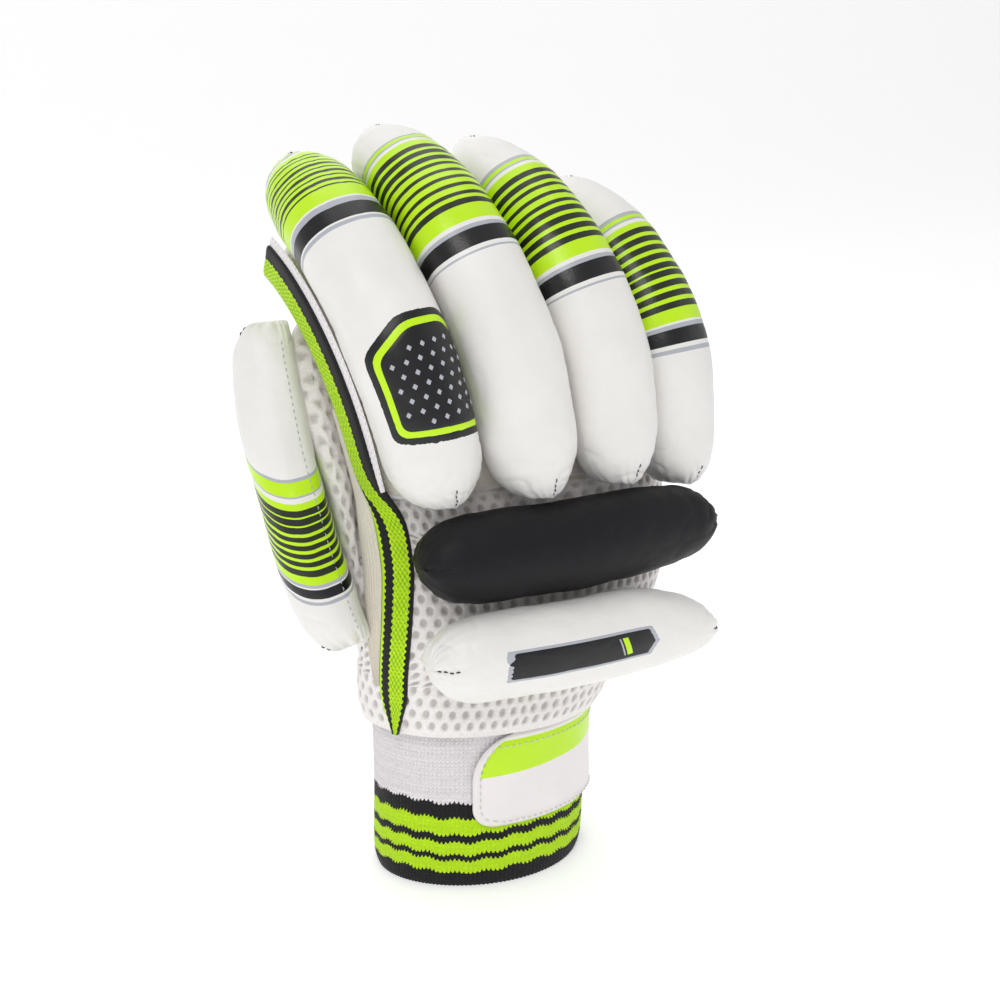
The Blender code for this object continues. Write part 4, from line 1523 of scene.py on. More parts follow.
@dataclass
class HandShell:
    """The hand shell: air mesh over the back, soft leather over the palm, and its lining."""

    thumb_seam: float = 152.0
    seam_half: float = 0.53
    hole_low: float = 0.22
    hole_high: float = 0.84
    hole_spread: float = 20.0
    back_rows: int = 150
    row_pitch: float = 0.53
    back_edge: float = 2.0
    palm_edge: float = 1.5
    crease_level: float = 104.0
    crease_slope: float = 0.25
    crease_half: float = 2.2
    patch_thickness: float = 0.7
    ledge_section: tuple[tuple[float, float], ...] = (
        (2.3, -1.6),
        (2.2, 0.2),
        (1.2, 0.9),
        (-2.0, 1.0),
        (-6.0, 0.9),
        (-6.0, -0.6),
    )

    def opening(self, height: Array) -> Array:
        """How far open the thumb's hole is at a height, in degrees."""
        middle, half = (self.hole_low + self.hole_high) / 2, (self.hole_high - self.hole_low) / 2
        return self.hole_spread * np.sqrt(np.clip(1.0 - ((height - middle) / half) ** 2, 0.0, 1.0))

    def build(self) -> None:
        """Builds the back panel, the palm, the lining and the edge at the knuckles."""
        self.back()
        self.patch(self.palm())
        self.lining()
        self.ledge()

    def back(self) -> None:
        """The back panel of air mesh, puffed up between its seams."""
        panel = HandPanel(
            HAND.back_wall,
            lambda height: self.thumb_seam + self.seam_half + self.opening(height),
            lambda height: np.full(len(height), 360.0 - self.seam_half),
            self.back_rows,
            300,
        )
        skin = panel.skin()
        smooth = skin.points.copy()
        row = np.arange(self.back_rows)
        edge = np.minimum(row, self.back_rows - 1 - row)[:, None] * self.row_pitch
        puff = ramp01(edge, 0.0, 5.0) * 1.1 - 0.5
        soft = roughen(skin.points, 17.0, 4.0) * 0.5
        across = np.broadcast_to(skin.across[None, :], skin.points.shape[:2])
        along = np.broadcast_to(skin.along[:, None], skin.points.shape[:2])
        holes = HolePattern()
        hole = holes.share(along, across) * ramp01(edge, 0.8, 2.0)
        skin.push(puff + soft - holes.depth * hole)
        # The hole share also darkens the colour towards the hole ink: the greyer cloth under the holes with
        # painted shade
        piece = skin.edged(self.back_edge).object("back_panel_mesh", {"hole": np.pad(hole, 1)})
        dress(piece, SPACER_MESH, "air_mesh", "back_panel")

    def palm(self) -> Skin:
        """The palm's leather, wrinkled and creased where the hand closes.

        Returns:
            Its surface.
        """
        panel = HandPanel(
            HAND.palm_wall,
            lambda height: np.full(len(height), self.seam_half),
            lambda height: self.thumb_seam - self.seam_half - self.opening(height),
            130,
            180,
        )
        skin = panel.skin()
        smooth = skin.points.copy()
        wrinkle = roughen(skin.points * (1.0, 1.0, 2.6), 13.0, 21.0) * 0.7
        over = skin.points[..., 2] - self.crease_level - self.crease_slope * skin.points[..., 0]
        crease = np.exp(-((over / self.crease_half) ** 2))
        skin.push(wrinkle - 0.9 * crease - 0.2)
        piece = skin.edged(self.palm_edge).object("palm_leather")
        dress(piece, PALM_HIDE, "palm_leather", "palm")
        return skin

    def patch(self, skin: Skin) -> None:
        """The palm's reinforcing patch with its stitched edge.

        Args:
            skin: The palm's surface.
        """
        corners = ((12.0, -30.0), (10.0, 30.0), (40.0, 38.0), (72.0, 36.0), (74.0, -30.0), (40.0, -34.0))
        outline = rounded_outline(corners, 9.0)
        piece = make_object("palm_patch", *skin.patch(outline, self.patch_thickness, 24))
        dress(piece, PATCH_HIDE, "palm_leather")
        trim = Trim("palm_patch_stitching")
        inner = outline.mean(axis=0) + (outline - outline.mean(axis=0)) * 0.94
        lifted = Skin(skin.points + skin.normals * self.patch_thickness, outward=skin.outward)
        trim.stitches(lifted, np.concatenate([inner, inner[:1]]), 2.4, 0.65, 0.26)
        dress(trim.object(), PALE_THREAD, "palm_leather")

    def lining(self) -> None:
        """The thin lining inside the shell."""
        turn, height = np.meshgrid(np.linspace(0.0, 352.5, 48), np.linspace(0.004, 0.99, 16))
        grid = HAND.skin(turn, height, np.full(turn.shape, 0.2))
        piece = make_object("hand_lining", grid, grid_faces(16, 48, True))
        dress(piece, Cloth("lining_knit", Ink.LINING), "air_mesh")

    def ledge(self) -> None:
        """The turned-in edge at the knuckles that the fingers are sewn to."""
        turn = np.linspace(0.0, 360.0, 240, endpoint=False)
        top = np.full(len(turn), 0.993)
        rows = []
        for lift, rise in self.ledge_section:
            rows.append(HAND.skin(turn, top, np.full(len(turn), lift)) + rise * UP)
        ledge = make_object("knuckle_ledge", np.array(rows), grid_faces(len(rows), len(turn), True))
        dress(ledge, PALM_HIDE, "palm_leather")


class StallSection(NamedTuple):
    """A section of a hollow stall from its root to its closed tip."""

    along: float
    girth: float


STALL_SECTIONS = (
    StallSection(0.00, 1.00),
    StallSection(0.24, 1.00),
    StallSection(0.48, 1.00),
    StallSection(0.60, 0.99),
    StallSection(0.71, 0.97),
    StallSection(0.81, 0.93),
    StallSection(0.90, 0.82),
    StallSection(0.96, 0.62),
    StallSection(1.00, 0.22),
)


@dataclass
class FingerStalls:
    """The hollow stalls behind the rolls, cloth with a leather facing towards the palm, made here all in one
    pressed leather.
    """

    spines: dict[str, Spine]
    width: float = STALL_WIDTH
    depth: float = 25.0
    square: float = 0.75
    rows: int = 90
    sides: int = 64

    def form(self, plan: FingerPlan) -> Skin:
        """The smooth outside of one stall.

        Args:
            plan: Its finger.

        Returns:
            Its surface.
        """
        spine = self.spines[plan.name]
        angle = np.linspace(0.0, 2 * pi, self.sides, endpoint=False)
        share = np.linspace(0.0, 1.0, self.rows)
        girth = column(STALL_SECTIONS, "girth", share)[:, None]
        wide, deep = squared(np.cos(angle), self.square), squared(np.sin(angle), self.square)
        outwards = -GAP / 2 + self.depth / 2 * (girth * deep - 1.0)
        rings = spine.rings(share * spine.length, plan.girth * self.width / 2 * girth * wide, outwards)
        forward = spine.at(0.0)[1][0]
        rings[0] += ((HAND.knuckles + GAP - rings[0][:, 2]) / forward[2])[:, None] * forward
        # Points of the first rows that would lie under the level root are moved onto it
        sunk = rings[1:7, :, 2:] < rings[0][None, :, 2:] + 0.3
        rings[1:7] = np.where(sunk, rings[0][None], rings[1:7])
        skin = Skin(hold_apart(rings, spine, beside(plan.name, self.spines)), closed=True)
        facing(skin)
        return skin

    def build(self) -> None:
        """Builds the stalls, with a welt where each is sewn to the hand."""
        welts = Trim("finger_welts")
        stitches = Trim("finger_stitching")
        for number, plan in enumerate(FINGERS):
            skin = self.form(plan)
            creases = np.abs(np.sin(skin.along / 9.5)) ** 6
            inner = np.clip(-np.sin(np.linspace(0.0, 2 * pi, self.sides, endpoint=False)), 0.0, 1.0)
            ripple = roughen(skin.points, 9.0, 60.0 + number) * 0.4
            root = ramp01(skin.along, 0.0, 6.0)[:, None]
            skin.push((ripple - 0.8 * creases[:, None] * inner[None, :]) * root - 0.15)
            piece = skin.object(plan.name + "_stall_cloth")
            self.close(piece)
            dress(piece, FINGER_HIDE, "finger_cloth", plan.name + "_stall")
            ring = skin.points[2]
            welts.tube(np.concatenate([ring, ring[:2]]), np.full(len(ring) + 2, 0.75), 8)
            for across in (-9.0, 9.0):
                stitches.row(skin, (4.0, skin.along[-1] * 0.86), across, 40, 2.3, 0.62, 0.22)
        dress(welts.object(), Cloth("welt_binding", Ink.KNIT), "finger_cloth")
        dress(stitches.object(), PALE_THREAD, "finger_cloth")

    def close(self, piece: bpy.types.Object) -> None:
        """Closes a stall's tip.

        Args:
            piece: The stall.
        """
        shape = bmesh.new()
        shape.from_mesh(piece.data)
        shape.verts.ensure_lookup_table()
        last = [shape.verts[(self.rows - 1) * self.sides + side] for side in range(self.sides)]
        shape.faces.new(last)
        bmesh.ops.recalc_face_normals(shape, faces=shape.faces)
        shape.to_mesh(piece.data)
        shape.free()
        piece.data.shade_smooth()


def read_vertices(mesh: bpy.types.Mesh, label: str) -> Array:
    """Reads one vector of each vertex.

    Args:
        mesh: The mesh.
        label: Its name, co or normal.

    Returns:
        The vectors.
    """
    flat = np.empty(len(mesh.vertices) * 3)
    mesh.vertices.foreach_get(label, flat)
    return flat.reshape(-1, 3)


@dataclass
class ThumbStall:
    """The thumb's hollow stall in air mesh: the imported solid's own form, refined and perforated."""

    spine: Spine
    levels: int = 3
    gusset_lean: float = 3.6
    hole_depth: float = 1.0

    def refined(self) -> bpy.types.Mesh:
        """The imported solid's mesh, joined into quads and smoothed.

        Returns:
            The mesh.
        """
        shape = bmesh.new()
        shape.from_mesh(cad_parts["thumb_stall"].data)
        bmesh.ops.remove_doubles(shape, verts=shape.verts, dist=0.01 * MM)
        flat = radians(60)
        bmesh.ops.join_triangles(
            shape, faces=shape.faces, angle_face_threshold=flat, angle_shape_threshold=flat
        )
        mesh = bpy.data.meshes.new("thumb_stall_mesh")
        shape.to_mesh(mesh)
        shape.free()
        rough = bpy.data.objects.new("thumb_stall_rough", mesh)
        bpy.context.scene.collection.objects.link(rough)
        smooth = rough.modifiers.new("smooth", "SUBSURF")
        smooth.levels = self.levels
        smooth.render_levels = self.levels
        made = bpy.data.meshes.new_from_object(rough.evaluated_get(bpy.context.evaluated_depsgraph_get()))
        bpy.data.objects.remove(rough)
        return made

    def build(self) -> None:
        """Builds the stall."""
        mesh = self.refined()
        points = read_vertices(mesh, "co") / MM + SHIFT
        normals = read_vertices(mesh, "normal")
        middle, forward, outward = (part[0] for part in self.spine.at(THUMB_LENGTH / 2))
        away = points - middle
        # The holes are laid on from the sides, so they fade where the wall turns away from them
        sides = ramp01(np.abs(normals @ self.spine.sideways), 0.25, 0.55)
        hole = HolePattern().share(away @ forward, away @ outward) * sides
        soft = roughen(points, 12.0, 77.0) * 0.35
        points = points + normals * (soft - self.hole_depth * hole)[:, None]
        tip = ramp01(away @ forward + THUMB_LENGTH / 2, 52.0, 92.0)
        toward_roll = self.gusset_lean * tip * np.clip(normals @ outward, 0.0, 1.0)
        points = points + toward_roll[:, None] * outward
        faces = [tuple(face.vertices) for face in mesh.polygons]
        # The hole share also darkens the colour towards the hole ink: the greyer cloth under the holes with
        # painted shade
        piece = make_object("thumb_stall_mesh", points, faces, {"hole": hole})
        dress(piece, SPACER_MESH, "air_mesh", "thumb_stall")


@dataclass
class Cuff:
    """The knitted cuff: a tube of loops, with bright and dark courses, folded double at the hem."""

    width: float = 79.0
    depth: float = 62.6
    height: float = 72.0
    wall: float = 2.6
    wales: int = 150
    course: float = 1.15
    row_pitch: float = 0.42
    hem_turn: float = 1.7
    lining_turn: float = 1.2
    hem_reach: float = 3.0
    run_reach: float = 90.0
    bands: tuple[Band, ...] = (
        Band(0.0, Ink.BLACK),
        Band(5.7, Ink.NEON),
        Band(10.4, Ink.BLACK),
        Band(12.5, Ink.NEON),
        Band(17.2, Ink.BLACK),
        Band(19.7, Ink.NEON),
        Band(26.0, Ink.BLACK),
        Band(31.5, Ink.KNIT),
    )

    def build(self) -> None:
        """Builds the cuff."""
        columns = self.wales * 3
        level = np.arange(0.0, self.height + 0.2, self.row_pitch)
        turn = np.linspace(0.0, 2 * pi, columns, endpoint=False)
        swell = -self.hem_turn * np.exp(-level / self.hem_reach)
        rise, round_it = np.meshgrid(level, turn, indexing="ij")
        gather = 0.35 * np.sin(9 * round_it + 1.3 * np.sin(rise / 9.0)) * ramp01(rise, 30.0, 62.0)
        sag = 0.35 * np.sin(3 * round_it + rise / 11.0)
        loop = np.abs(np.sin(round_it * self.wales / 2))
        stitch = np.sin(2 * pi * rise / self.course + 2.4 * loop)
        relief = 0.26 * stitch + 0.34 * loop + gather + sag - 0.45
        x = CUFF_CENTRE + (self.width / 2 + swell[:, None] + relief) * np.cos(round_it)
        y = (self.depth / 2 + swell[:, None] + relief) * np.sin(round_it)
        outer = np.stack([x, y, rise], axis=-1)
        lining_level = np.array([0.0, 0.6, 3.0, 12.0, 30.0, 50.0, self.height])
        rise_in, round_in = np.meshgrid(lining_level, turn, indexing="ij")
        turned = self.lining_turn * np.exp(-rise_in / self.hem_reach)
        x = CUFF_CENTRE + (self.width / 2 - self.wall - turned) * np.cos(round_in)
        y = (self.depth / 2 - self.wall - turned) * np.sin(round_in)
        points = np.concatenate([np.stack([x, y, rise_in], axis=-1)[::-1], outer])
        ragged = 0.9 * (loop - 0.5) + 0.45 * np.sin(round_it * 23.0) + 0.5 * np.sin(round_it * 5.0)
        shown = np.clip(rise + ragged * ramp01(rise, 2.0, 6.0), 0.0, self.run_reach)
        run = np.concatenate([rise_in[::-1], shown])
        valley = ramp01(-stitch, 0.0, 0.9) * (1.0 - 0.4 * loop)
        # Painted shade in the valleys between the courses, carried by the hole attribute: only the pale knit
        # over the last dark course shows it
        shade = np.concatenate([0.0 * rise_in, valley]) * ramp01(run, 31.6, 32.4)
        faces = grid_faces(len(points), columns, True)
        piece = make_object("wrist_knit", points, faces, {"run": run, "hole": shade})
        look = {"loop_mm": 0.9, "relief_mm": 0.35, "hole_ink": Ink.KNIT_SHADE}
        finish = Cloth("terry_knit", Ink.KNIT, self.bands, reach=self.run_reach, **look)
        dress(piece, finish, "cuff_knit", "cuff")
        LOG.info("cuff courses: %d", int(self.height / self.course))


@dataclass
class Strap:
    """The closing strap: coated leather with a stitched edge and a bright printed corner."""

    width: float = 33.0
    thickness: float = 1.8
    corner: float = 7.0
    upper_corner: float = 17.0
    bright_level: float = 17.5
    free_turn: float = 240.0
    sewn_turn: float = 450.0
    rows: int = 70
    columns: int = 300
    length: float = 135.0
    bright_length: float = 62.0
    bright_slope: float = 0.07
    bright_margin: float = 1.9
    edge_turn: float = 1.1
    seam_inset: float = 2.6
    sewn_row: float = 9.0
    cuff: Cuff = field(default_factory=Cuff)

    def skin(self) -> Skin:
        """The strap's outer face.

        Returns:
            Its surface.
        """
        low = HAND.wrist - GAP - self.width
        share = np.linspace(0.0, 1.0, self.rows)
        setback = np.zeros(self.rows)
        below, above = share * self.width, (1.0 - share) * self.width
        for radius, edge in ((self.corner, below), (self.upper_corner, above)):
            missing = np.clip(radius - edge, 0.0, None)
            setback = setback + radius - np.sqrt(radius**2 - missing**2)
        start = (self.free_turn + np.degrees(setback / (self.cuff.width / 2)))[:, None]
        turn = np.radians(start + (self.sewn_turn - start) * np.linspace(0, 1, self.columns))
        level = np.broadcast_to((low + share * self.width)[:, None], turn.shape)
        lift = 0.5 + self.thickness
        x = CUFF_CENTRE + (self.cuff.width / 2 + lift) * np.cos(turn)
        y = (self.cuff.depth / 2 + lift) * np.sin(turn)
        skin = Skin(np.stack([x, y, level], axis=-1))
        face_level(skin, np.zeros(3))
        return skin

    def build(self) -> None:
        """Builds the strap."""
        skin = self.skin()
        row, place = np.arange(self.rows), np.arange(self.columns)
        down = np.minimum(row, self.rows - 1 - row)[:, None] * self.width / (self.rows - 1)
        in_from_end = (place * self.length / (self.columns - 1))[None, :]
        edge = np.minimum(down, in_from_end)
        groove = np.exp(-(((edge - self.seam_inset) / 0.7) ** 2))
        roll_off = -0.9 * (1.0 - ramp01(edge, 0.0, 1.4))
        skin.push(roll_off - 0.35 * groove + roughen(skin.points, 15.0, 33.0) * 0.35)
        level = np.linspace(0.0, self.width, self.rows)[:, None]
        above = level - self.bright_level - self.bright_slope * in_from_end
        within = np.minimum(above, edge - self.bright_margin)
        bright = np.minimum(within, self.bright_length - in_from_end)
        run = np.pad(np.clip(10.0 + bright, 0.0, 20.0), 1, mode="edge")
        bands = (Band(0.0, Ink.STRAP), Band(10.0, Ink.NEON))
        finish = PressedLeather("strap_coated_leather", Ink.STRAP, bands, roughness=0.42)
        piece = skin.edged(self.edge_turn).object("wrist_strap_cover", {"run": run})
        dress(piece, finish, "strap_leather", "wrist_strap")
        self.sew(skin)

    def sew(self, skin: Skin) -> None:
        """The stitching round the free end and across the sewn end.

        Args:
            skin: The strap's surface.
        """
        trim = Trim("wrist_strap_stitching")
        end, sewn = skin.across[0], skin.across[-1] - 3.0
        inset = self.seam_inset
        low, high = inset, self.width - inset
        path = [(high, end + 90.0), (high, end + inset + 1.0), (high, end + inset + 0.4)]
        path += [(low + 5.0, end + inset + 0.4), (low + 2.0, end + inset + 1.2)]
        path += [(low, end + inset + 5.0), (low, end + 90.0)]
        trim.stitches(skin, np.array(path), 2.5, 0.62, 0.22)
        inner = sewn - self.sewn_row
        box = np.array([(low, sewn), (high, sewn), (high, inner), (low, inner)])
        trim.stitches(skin, box, 2.3, 0.62, 0.22)
        dress(trim.object(), PALE_THREAD, "strap_leather")


# The edges of the ribbon's woven stripes across its width: up the hand, then up the finger
HAND_STRIPES = np.array([0.0, 1.3, 4.4, 9.8, 11.0])
FINGER_STRIPES = np.array([0.0, 0.05, 0.7, 6.6, 11.0])
STRIPE_INKS = (Ink.NEON, Ink.BLACK, Ink.NEON, Ink.BLACK)


def up_the_side(heights: Array, along: Array) -> Array:
    """Distances up the hand's side and then up the index finger's line."""
    tall = HAND.knuckles - HAND.wrist
    return np.concatenate([heights * tall, tall + along])


@dataclass
class SideStrip:
    """Flat trims up the thumb's side of the hand and the index finger: ribbon, fold and dotted tape."""

    spines: dict[str, Spine]
    ribbon_turn: float = 201.0
    ribbon_width: float = 11.0
    kick: float = 2.8
    kick_reach: float = 7.0
    bend_level: float = 84.0
    bend_reach: float = 17.0
    smoothings: int = 260
    columns: int = 41

    def centre(self, height: Array) -> Array:
        """The turn of the ribbon's middle at heights up the hand."""
        return self.ribbon_turn - 3.0 * np.sin(pi * np.clip(height / 0.7, 0.0, 1.0)) + 2.0 * height

    def round_skin(self, height: float, distances: Array, lift: float) -> Array:
        """Points at distances round the hand from the ribbon's middle, towards the palm.

        Args:
            height: The share up the hand.
            distances: The distances.
            lift: How far off the cloth.

        Returns:
            The points.
        """
        turns = self.centre(height) + np.linspace(40.0, -60.0, 201)
        line = HAND.skin(turns, np.full(len(turns), height), np.full(len(turns), HAND.back_wall + lift))
        length = np.concatenate([[0.0], np.cumsum(np.linalg.norm(np.diff(line, axis=0), axis=1))])
        length -= np.interp(-self.centre(height), -turns, length)
        return np.stack([np.interp(distances, length, line[:, axis]) for axis in range(3)], axis=-1)

    def grid(
        self, heights: Array, along: Array, near: Array, far: Array, lift: float, kick: float = 0.0
    ) -> Array:
        """A grid of points over both stretches.

        Args:
            heights: Shares up the hand.
            along: Distances up the index finger's line.
            near: The near edge's distance from the ribbon's middle, for each row.
            far: The far edge's distance.
            lift: The distance from the cloth under it.
            kick: How far the edge on the palm's side stands off the finger.

        Returns:
            The points.
        """
        spine = self.spines["index"]
        share = np.linspace(0.0, 1.0, self.columns)
        away = near[:, None] + (far - near)[:, None] * share
        half = FINGERS[0].girth * STALL_WIDTH / 2
        beyond = away[len(heights) :]
        raised = kick * np.exp(-(((beyond - self.ribbon_width / 2) / self.kick_reach) ** 2))
        upper = spine.rings(along, -half - lift - raised, -GAP / 2 - 1.0 - self.ribbon_width / 2 - beyond)
        lower = [self.round_skin(height, away[row], lift) for row, height in enumerate(heights)]
        grid = np.concatenate([np.array(lower), upper])
        stall = FingerStalls(self.spines).form(FINGERS[0]).points
        finger = body(np.concatenate([stall[:1] - 60.0 * spine.at(0.0)[1][0], stall]))
        grid = keep_clear(grid, [finger], lift)
        place = up_the_side(heights, along)
        ease = np.exp(-(((place - self.bend_level) / self.bend_reach) ** 2))[1:-1, None, None]
        # The bend from the hand to the finger is eased by moving each row towards the rows beside it
        for _ in range(self.smoothings):
            grid[1:-1] += ease * 0.5 * ((grid[2:] + grid[:-2]) / 2 - grid[1:-1])
        return grid

    def raised(self, name: str, under: Array, over: Array, attributes: dict) -> bpy.types.Object:
        """A closed sheet between two grids.

        Args:
            name: The piece's name.
            under: The grid against the cloth.
            over: The outer grid.
            attributes: Named values for each point of a grid.

        Returns:
            The object.
        """
        rows, columns = under.shape[:2]
        count = rows * columns
        faces = grid_faces(rows, columns, False)
        faces = faces + [tuple(count + number for number in face) for face in faces]
        rim = list(range(columns))
        rim += [row * columns + columns - 1 for row in range(1, rows)]
        rim += [(rows - 1) * columns + place for place in range(columns - 2, -1, -1)]
        rim += [row * columns for row in range(rows - 2, 0, -1)]
        for here, after in zip(rim, rim[1:] + rim[:1]):
            faces.append((here, after, count + after, count + here))
        points = np.concatenate([under.reshape(-1, 3), over.reshape(-1, 3)])
        doubled = {label: np.tile(values.reshape(-1), 2) for label, values in attributes.items()}
        return make_object(name, points, faces, doubled)

    def build(self) -> None:
        """Builds the ribbon, the dotted tape beside it and the ribbed fold."""
        spine = self.spines["index"]
        heights = np.linspace(0.004, 0.995, 130)
        along = np.linspace(0.02, 0.90, 150) * spine.length
        count = len(heights) + len(along)
        place = up_the_side(heights, along)
        half = self.ribbon_width / 2
        far = half * ramp01(place, -6.0, 16.0)
        near = -far
        under = self.grid(heights, along, near, far, GAP)
        over = self.grid(heights, along, near, far, GAP + 1.5, self.kick)
        share = np.linspace(0.0, 1.0, self.columns)[None, :]
        rib = 0.16 * np.sin(2 * pi * place / 1.5)[:, None] * np.sin(pi * share)
        over = over + unit(over - under) * (rib - 0.55 * (np.abs(2 * share - 1) ** 8))[..., None]
        across = np.broadcast_to(self.ribbon_width * (1.0 - share), (count, self.columns))
        ragged = 0.28 * np.sin(place * 2.9)[:, None] + 0.18 * np.sin(place * 7.3)[:, None]
        woven = np.clip(across + ragged, 0.0, self.ribbon_width)
        # The same four stripes all the way, with other widths up the finger than up the hand
        stripe = np.empty((count, self.columns))
        for row, rise in enumerate(ramp01(place, 66.0, 96.0)):
            edges = (1.0 - rise) * HAND_STRIPES + rise * FINGER_STRIPES
            stripe[row] = np.interp(woven[row], edges, HAND_STRIPES)
        # Painted shade: the dots in the neon stripe are painted in the shaded neon ink
        dots = HolePattern(2.3, 1.5, 0.62, 0.48).share(place[:, None] + 0.0 * across, across)
        bright = ramp01(stripe, 4.5, 5.0) * (1.0 - ramp01(stripe, 9.3, 9.8))
        piece = self.raised("side_ribbon_weave", under, over, {"run": stripe, "hole": dots * bright})
        bands = tuple(Band(float(edge), ink) for edge, ink in zip(HAND_STRIPES, STRIPE_INKS))
        finish = Cloth("elastic_ribbon", Ink.KNIT, bands, reach=24.0, loop_mm=0.6, hole_ink=Ink.SHADED_NEON)
        dress(piece, finish, "neon_ribbon", "side_ribbon")
        self.tape(along[7:], spine)
        self.fold()

    def tape(self, along: Array, spine: Spine) -> None:
        """The white tape with rows of dots between the ribbon and the roll.

        Args:
            along: Distances up the index finger's line.
            spine: That line.
        """
        stall_half = FINGERS[0].girth * STALL_WIDTH / 2
        share = np.linspace(0.0, 1.0, 21)
        outwards = -0.4 + 4.8 * ramp01(along, 2.0, 28.0)[:, None] * (share - 0.55)
        sideways = -stall_half - 0.9 + 1.4 * share**3
        grid = spine.rings(along, np.broadcast_to(sideways, (len(along), 21)), outwards)
        dots = 0.5 + 0.5 * np.sin(2 * pi * along / 2.2)[:, None] * np.sin(2 * pi * share * 2.5)[None, :]
        points = grid - 0.25 * dots[..., None] * (-spine.sideways)
        # The dimpled dots are darkened towards the hole ink: partly a greyer colour, partly painted shade
        piece = make_object("dotted_tape", points, grid_faces(len(along), 21, False), {"hole": dots**6})
        dress(piece, Cloth("tape_knit", Ink.KNIT, hole_ink=Ink.HOLE), "cuff_knit")

    def fold(self) -> None:
        """The soft ribbed fold between the ribbon and the thumb."""
        spine = self.spines["index"]
        heights = np.linspace(0.20, 0.995, 120)
        along = np.linspace(0.02, 0.32, 44) * spine.length
        share = np.linspace(0.0, 1.0, len(heights) + len(along))
        near = np.full(len(share), self.ribbon_width / 2 + 0.3)
        far = near + 11.0 * np.sin(pi * (0.06 + 0.88 * share))
        under = self.grid(heights, along, near, far, GAP)
        over = self.grid(heights, along, near, far, GAP + 1.0, self.kick)
        across = np.linspace(0.0, 1.0, self.columns)[None, :]
        bulge = 1.5 * np.sin(pi * across) * np.sin(pi * (0.08 + 0.84 * share))[:, None]
        ribs = 0.28 * np.sin(2 * pi * (across * 11.0) / 1.2)
        over = over + unit(over - under) * (bulge + ribs)[..., None]
        piece = self.raised("ribbed_fold", under, over, {})
        dress(piece, Cloth("rib_knit", Ink.CREAM, loop_mm=0.5, relief_mm=0.12), "ribbed_knit", "web_fold")


class Lamp(NamedTuple):
    """A soft light: where it hangs in metres, its watts, its size and its colour."""

    name: str
    spot: tuple[float, float, float]
    power: float
    size: float
    shade: tuple[float, float, float]


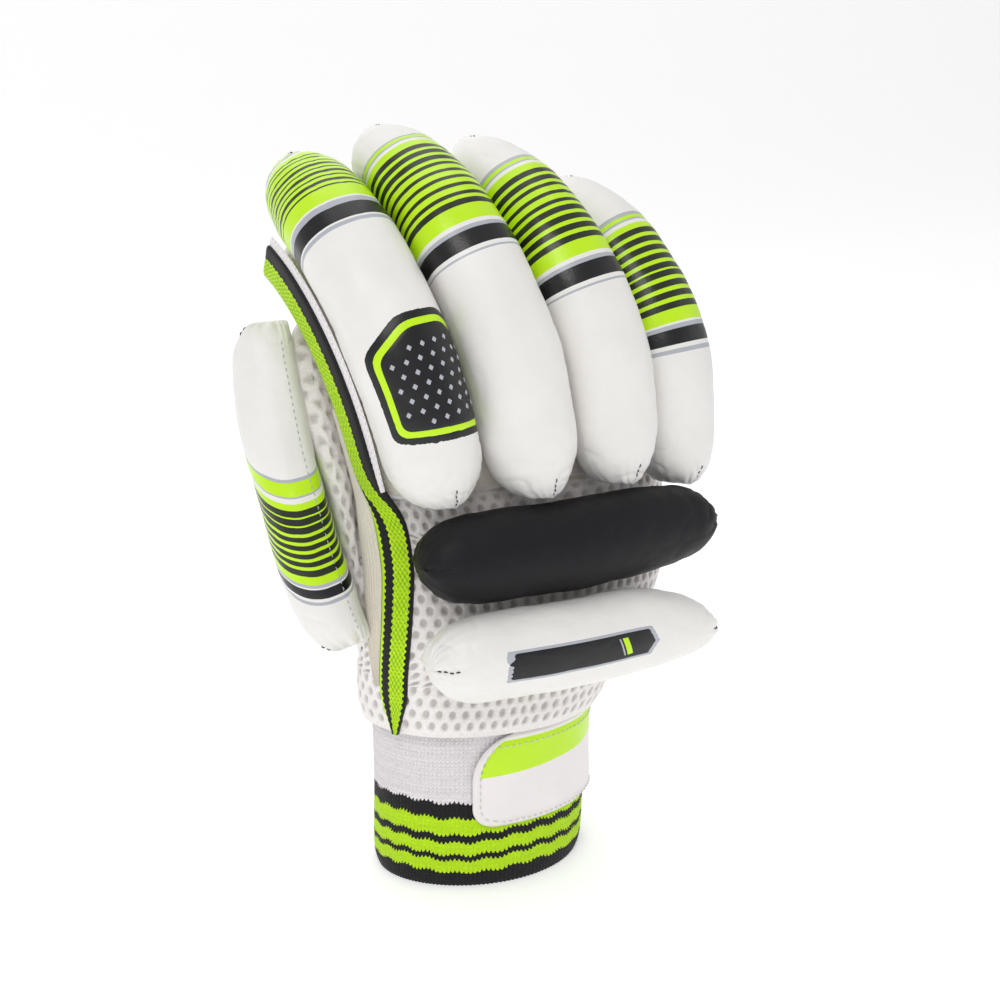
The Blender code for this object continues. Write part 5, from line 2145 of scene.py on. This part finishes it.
@dataclass
class Studio:
    """The white floor and backdrop, soft lights and the camera."""

    turn: float = radians(33.0)
    distance: float = 600.0
    aside: float = 5.0
    height: float = 278.0
    tilt: float = radians(14.0)
    lens: float = 64.5
    sky: float = 0.52
    paper_glow: float = 0.36
    floor_front: float = -2.5
    sweep_start: float = 1.4
    sweep: float = 0.9
    backdrop_top: float = 3.2
    lamps: tuple[Lamp, ...] = (
        Lamp("key_light", (-0.75, -0.85, 1.15), 6.2, 0.7, (1.0, 0.985, 0.97)),
        Lamp("fill_light", (1.0, -0.6, 0.55), 0.8, 0.8, (0.97, 0.98, 1.0)),
        Lamp("top_light", (0.1, 0.3, 1.3), 3.4, 1.0, (1.0, 1.0, 1.0)),
        Lamp("back_light", (0.3, 1.2, 0.7), 1.2, 0.9, (1.0, 1.0, 1.0)),
    )

    def build(self) -> None:
        """Builds the studio."""
        self.camera()
        self.floor()
        for lamp in self.lamps:
            self.hang(lamp)
        self.world()

    def camera(self) -> None:
        """The camera at the photograph's viewing angle."""
        scene = bpy.context.scene
        forward = np.array((sin(self.turn), cos(self.turn), 0.0))
        right = np.array((cos(self.turn), -sin(self.turn), 0.0))
        place = -self.distance * forward + self.aside * right + self.height * UP
        look = cos(self.tilt) * forward - sin(self.tilt) * UP
        camera = bpy.data.objects.new("camera", bpy.data.cameras.new("camera"))
        camera.data.lens = self.lens
        camera.data.sensor_width = 36.0
        camera.data.clip_start = 0.01
        camera.location = Vector((place - SHIFT) * MM)
        camera.rotation_euler = Vector(look).to_track_quat("-Z", "Y").to_euler()
        scene.collection.objects.link(camera)
        scene.camera = camera

    def hang(self, lamp: Lamp) -> None:
        """Hangs a light and aims it at the glove.

        Args:
            lamp: The light.
        """
        light = bpy.data.lights.new(lamp.name, "AREA")
        light.energy, light.size, light.color = lamp.power, lamp.size, lamp.shade
        made = bpy.data.objects.new(lamp.name, light)
        made.location = lamp.spot
        aim = Vector((0.0, 0.0, 0.12)) - Vector(lamp.spot)
        made.rotation_euler = aim.to_track_quat("-Z", "Y").to_euler()
        bpy.context.scene.collection.objects.link(made)

    def world(self) -> None:
        """Even white light from all round, and colours as they are."""
        scene = bpy.context.scene
        world = bpy.data.worlds.new("studio")
        world.use_nodes = True
        ground = world.node_tree.nodes["Background"]
        ground.inputs[0].default_value = (1.0, 1.0, 1.0, 1.0)
        ground.inputs[1].default_value = self.sky
        scene.world = world
        scene.view_settings.view_transform = "Standard"
        scene.view_settings.look = "None"

    def floor(self) -> None:
        """The floor, swept up into a backdrop."""
        across = np.linspace(-3.0, 3.0, 3)
        profile = [(self.floor_front, 0.0), (self.sweep_start, 0.0)]
        for step in np.linspace(0.0, pi / 2, 12)[1:]:
            rise = self.sweep - self.sweep * cos(step)
            profile.append((self.sweep_start + self.sweep * sin(step), rise))
        profile.append((self.sweep_start + self.sweep, self.backdrop_top))
        points = np.array([[(x, y, z) for x in across] for y, z in profile]) / MM + SHIFT
        piece = make_object("floor", points, grid_faces(len(profile), 3, False))
        made, _, shader = blank("white_paper")
        shader.inputs["Base Color"].default_value = (0.9, 0.9, 0.905, 1.0)
        shader.inputs["Roughness"].default_value = 0.9
        shader.inputs["Emission Color"].default_value = (1.0, 1.0, 1.0, 1.0)
        shader.inputs["Emission Strength"].default_value = self.paper_glow
        piece.data.materials.append(made)


def main() -> None:
    """Builds the glove piece by piece, then its studio."""
    logging.basicConfig(level=logging.INFO, format="%(message)s")
    Studio().build()
    Cuff().build()
    Strap().build()
    HandShell().build()
    spines = finger_spines()
    FingerStalls(spines).build()
    FingerRolls(spines).build()
    black = PressedLeather("bolster_leather", Ink.BOLSTER, roughness=0.55, gloss=0.22)
    Bolster("knuckle_bolster", 0.110, 119.5, 116.0, 30.0, 0.10, 0.0, black, "black_leather", 51.0).build()
    white = PressedLeather("white_pressed_leather", Ink.WHITE)
    lower = Bolster("hand_bolster", 0.072, 89.0, 112.0, 29.0, 0.30, 5.0, white, "white_leather", 55.0)
    Label().lay(lower.build(), lower.slot)
    thumb = Spine(THUMB_START, THUMB, THUMB_LENGTH)
    ThumbRoll(thumb).build()
    ThumbStall(thumb).build()
    SideStrip(spines).build()


if __name__ == "__main__":
    main()
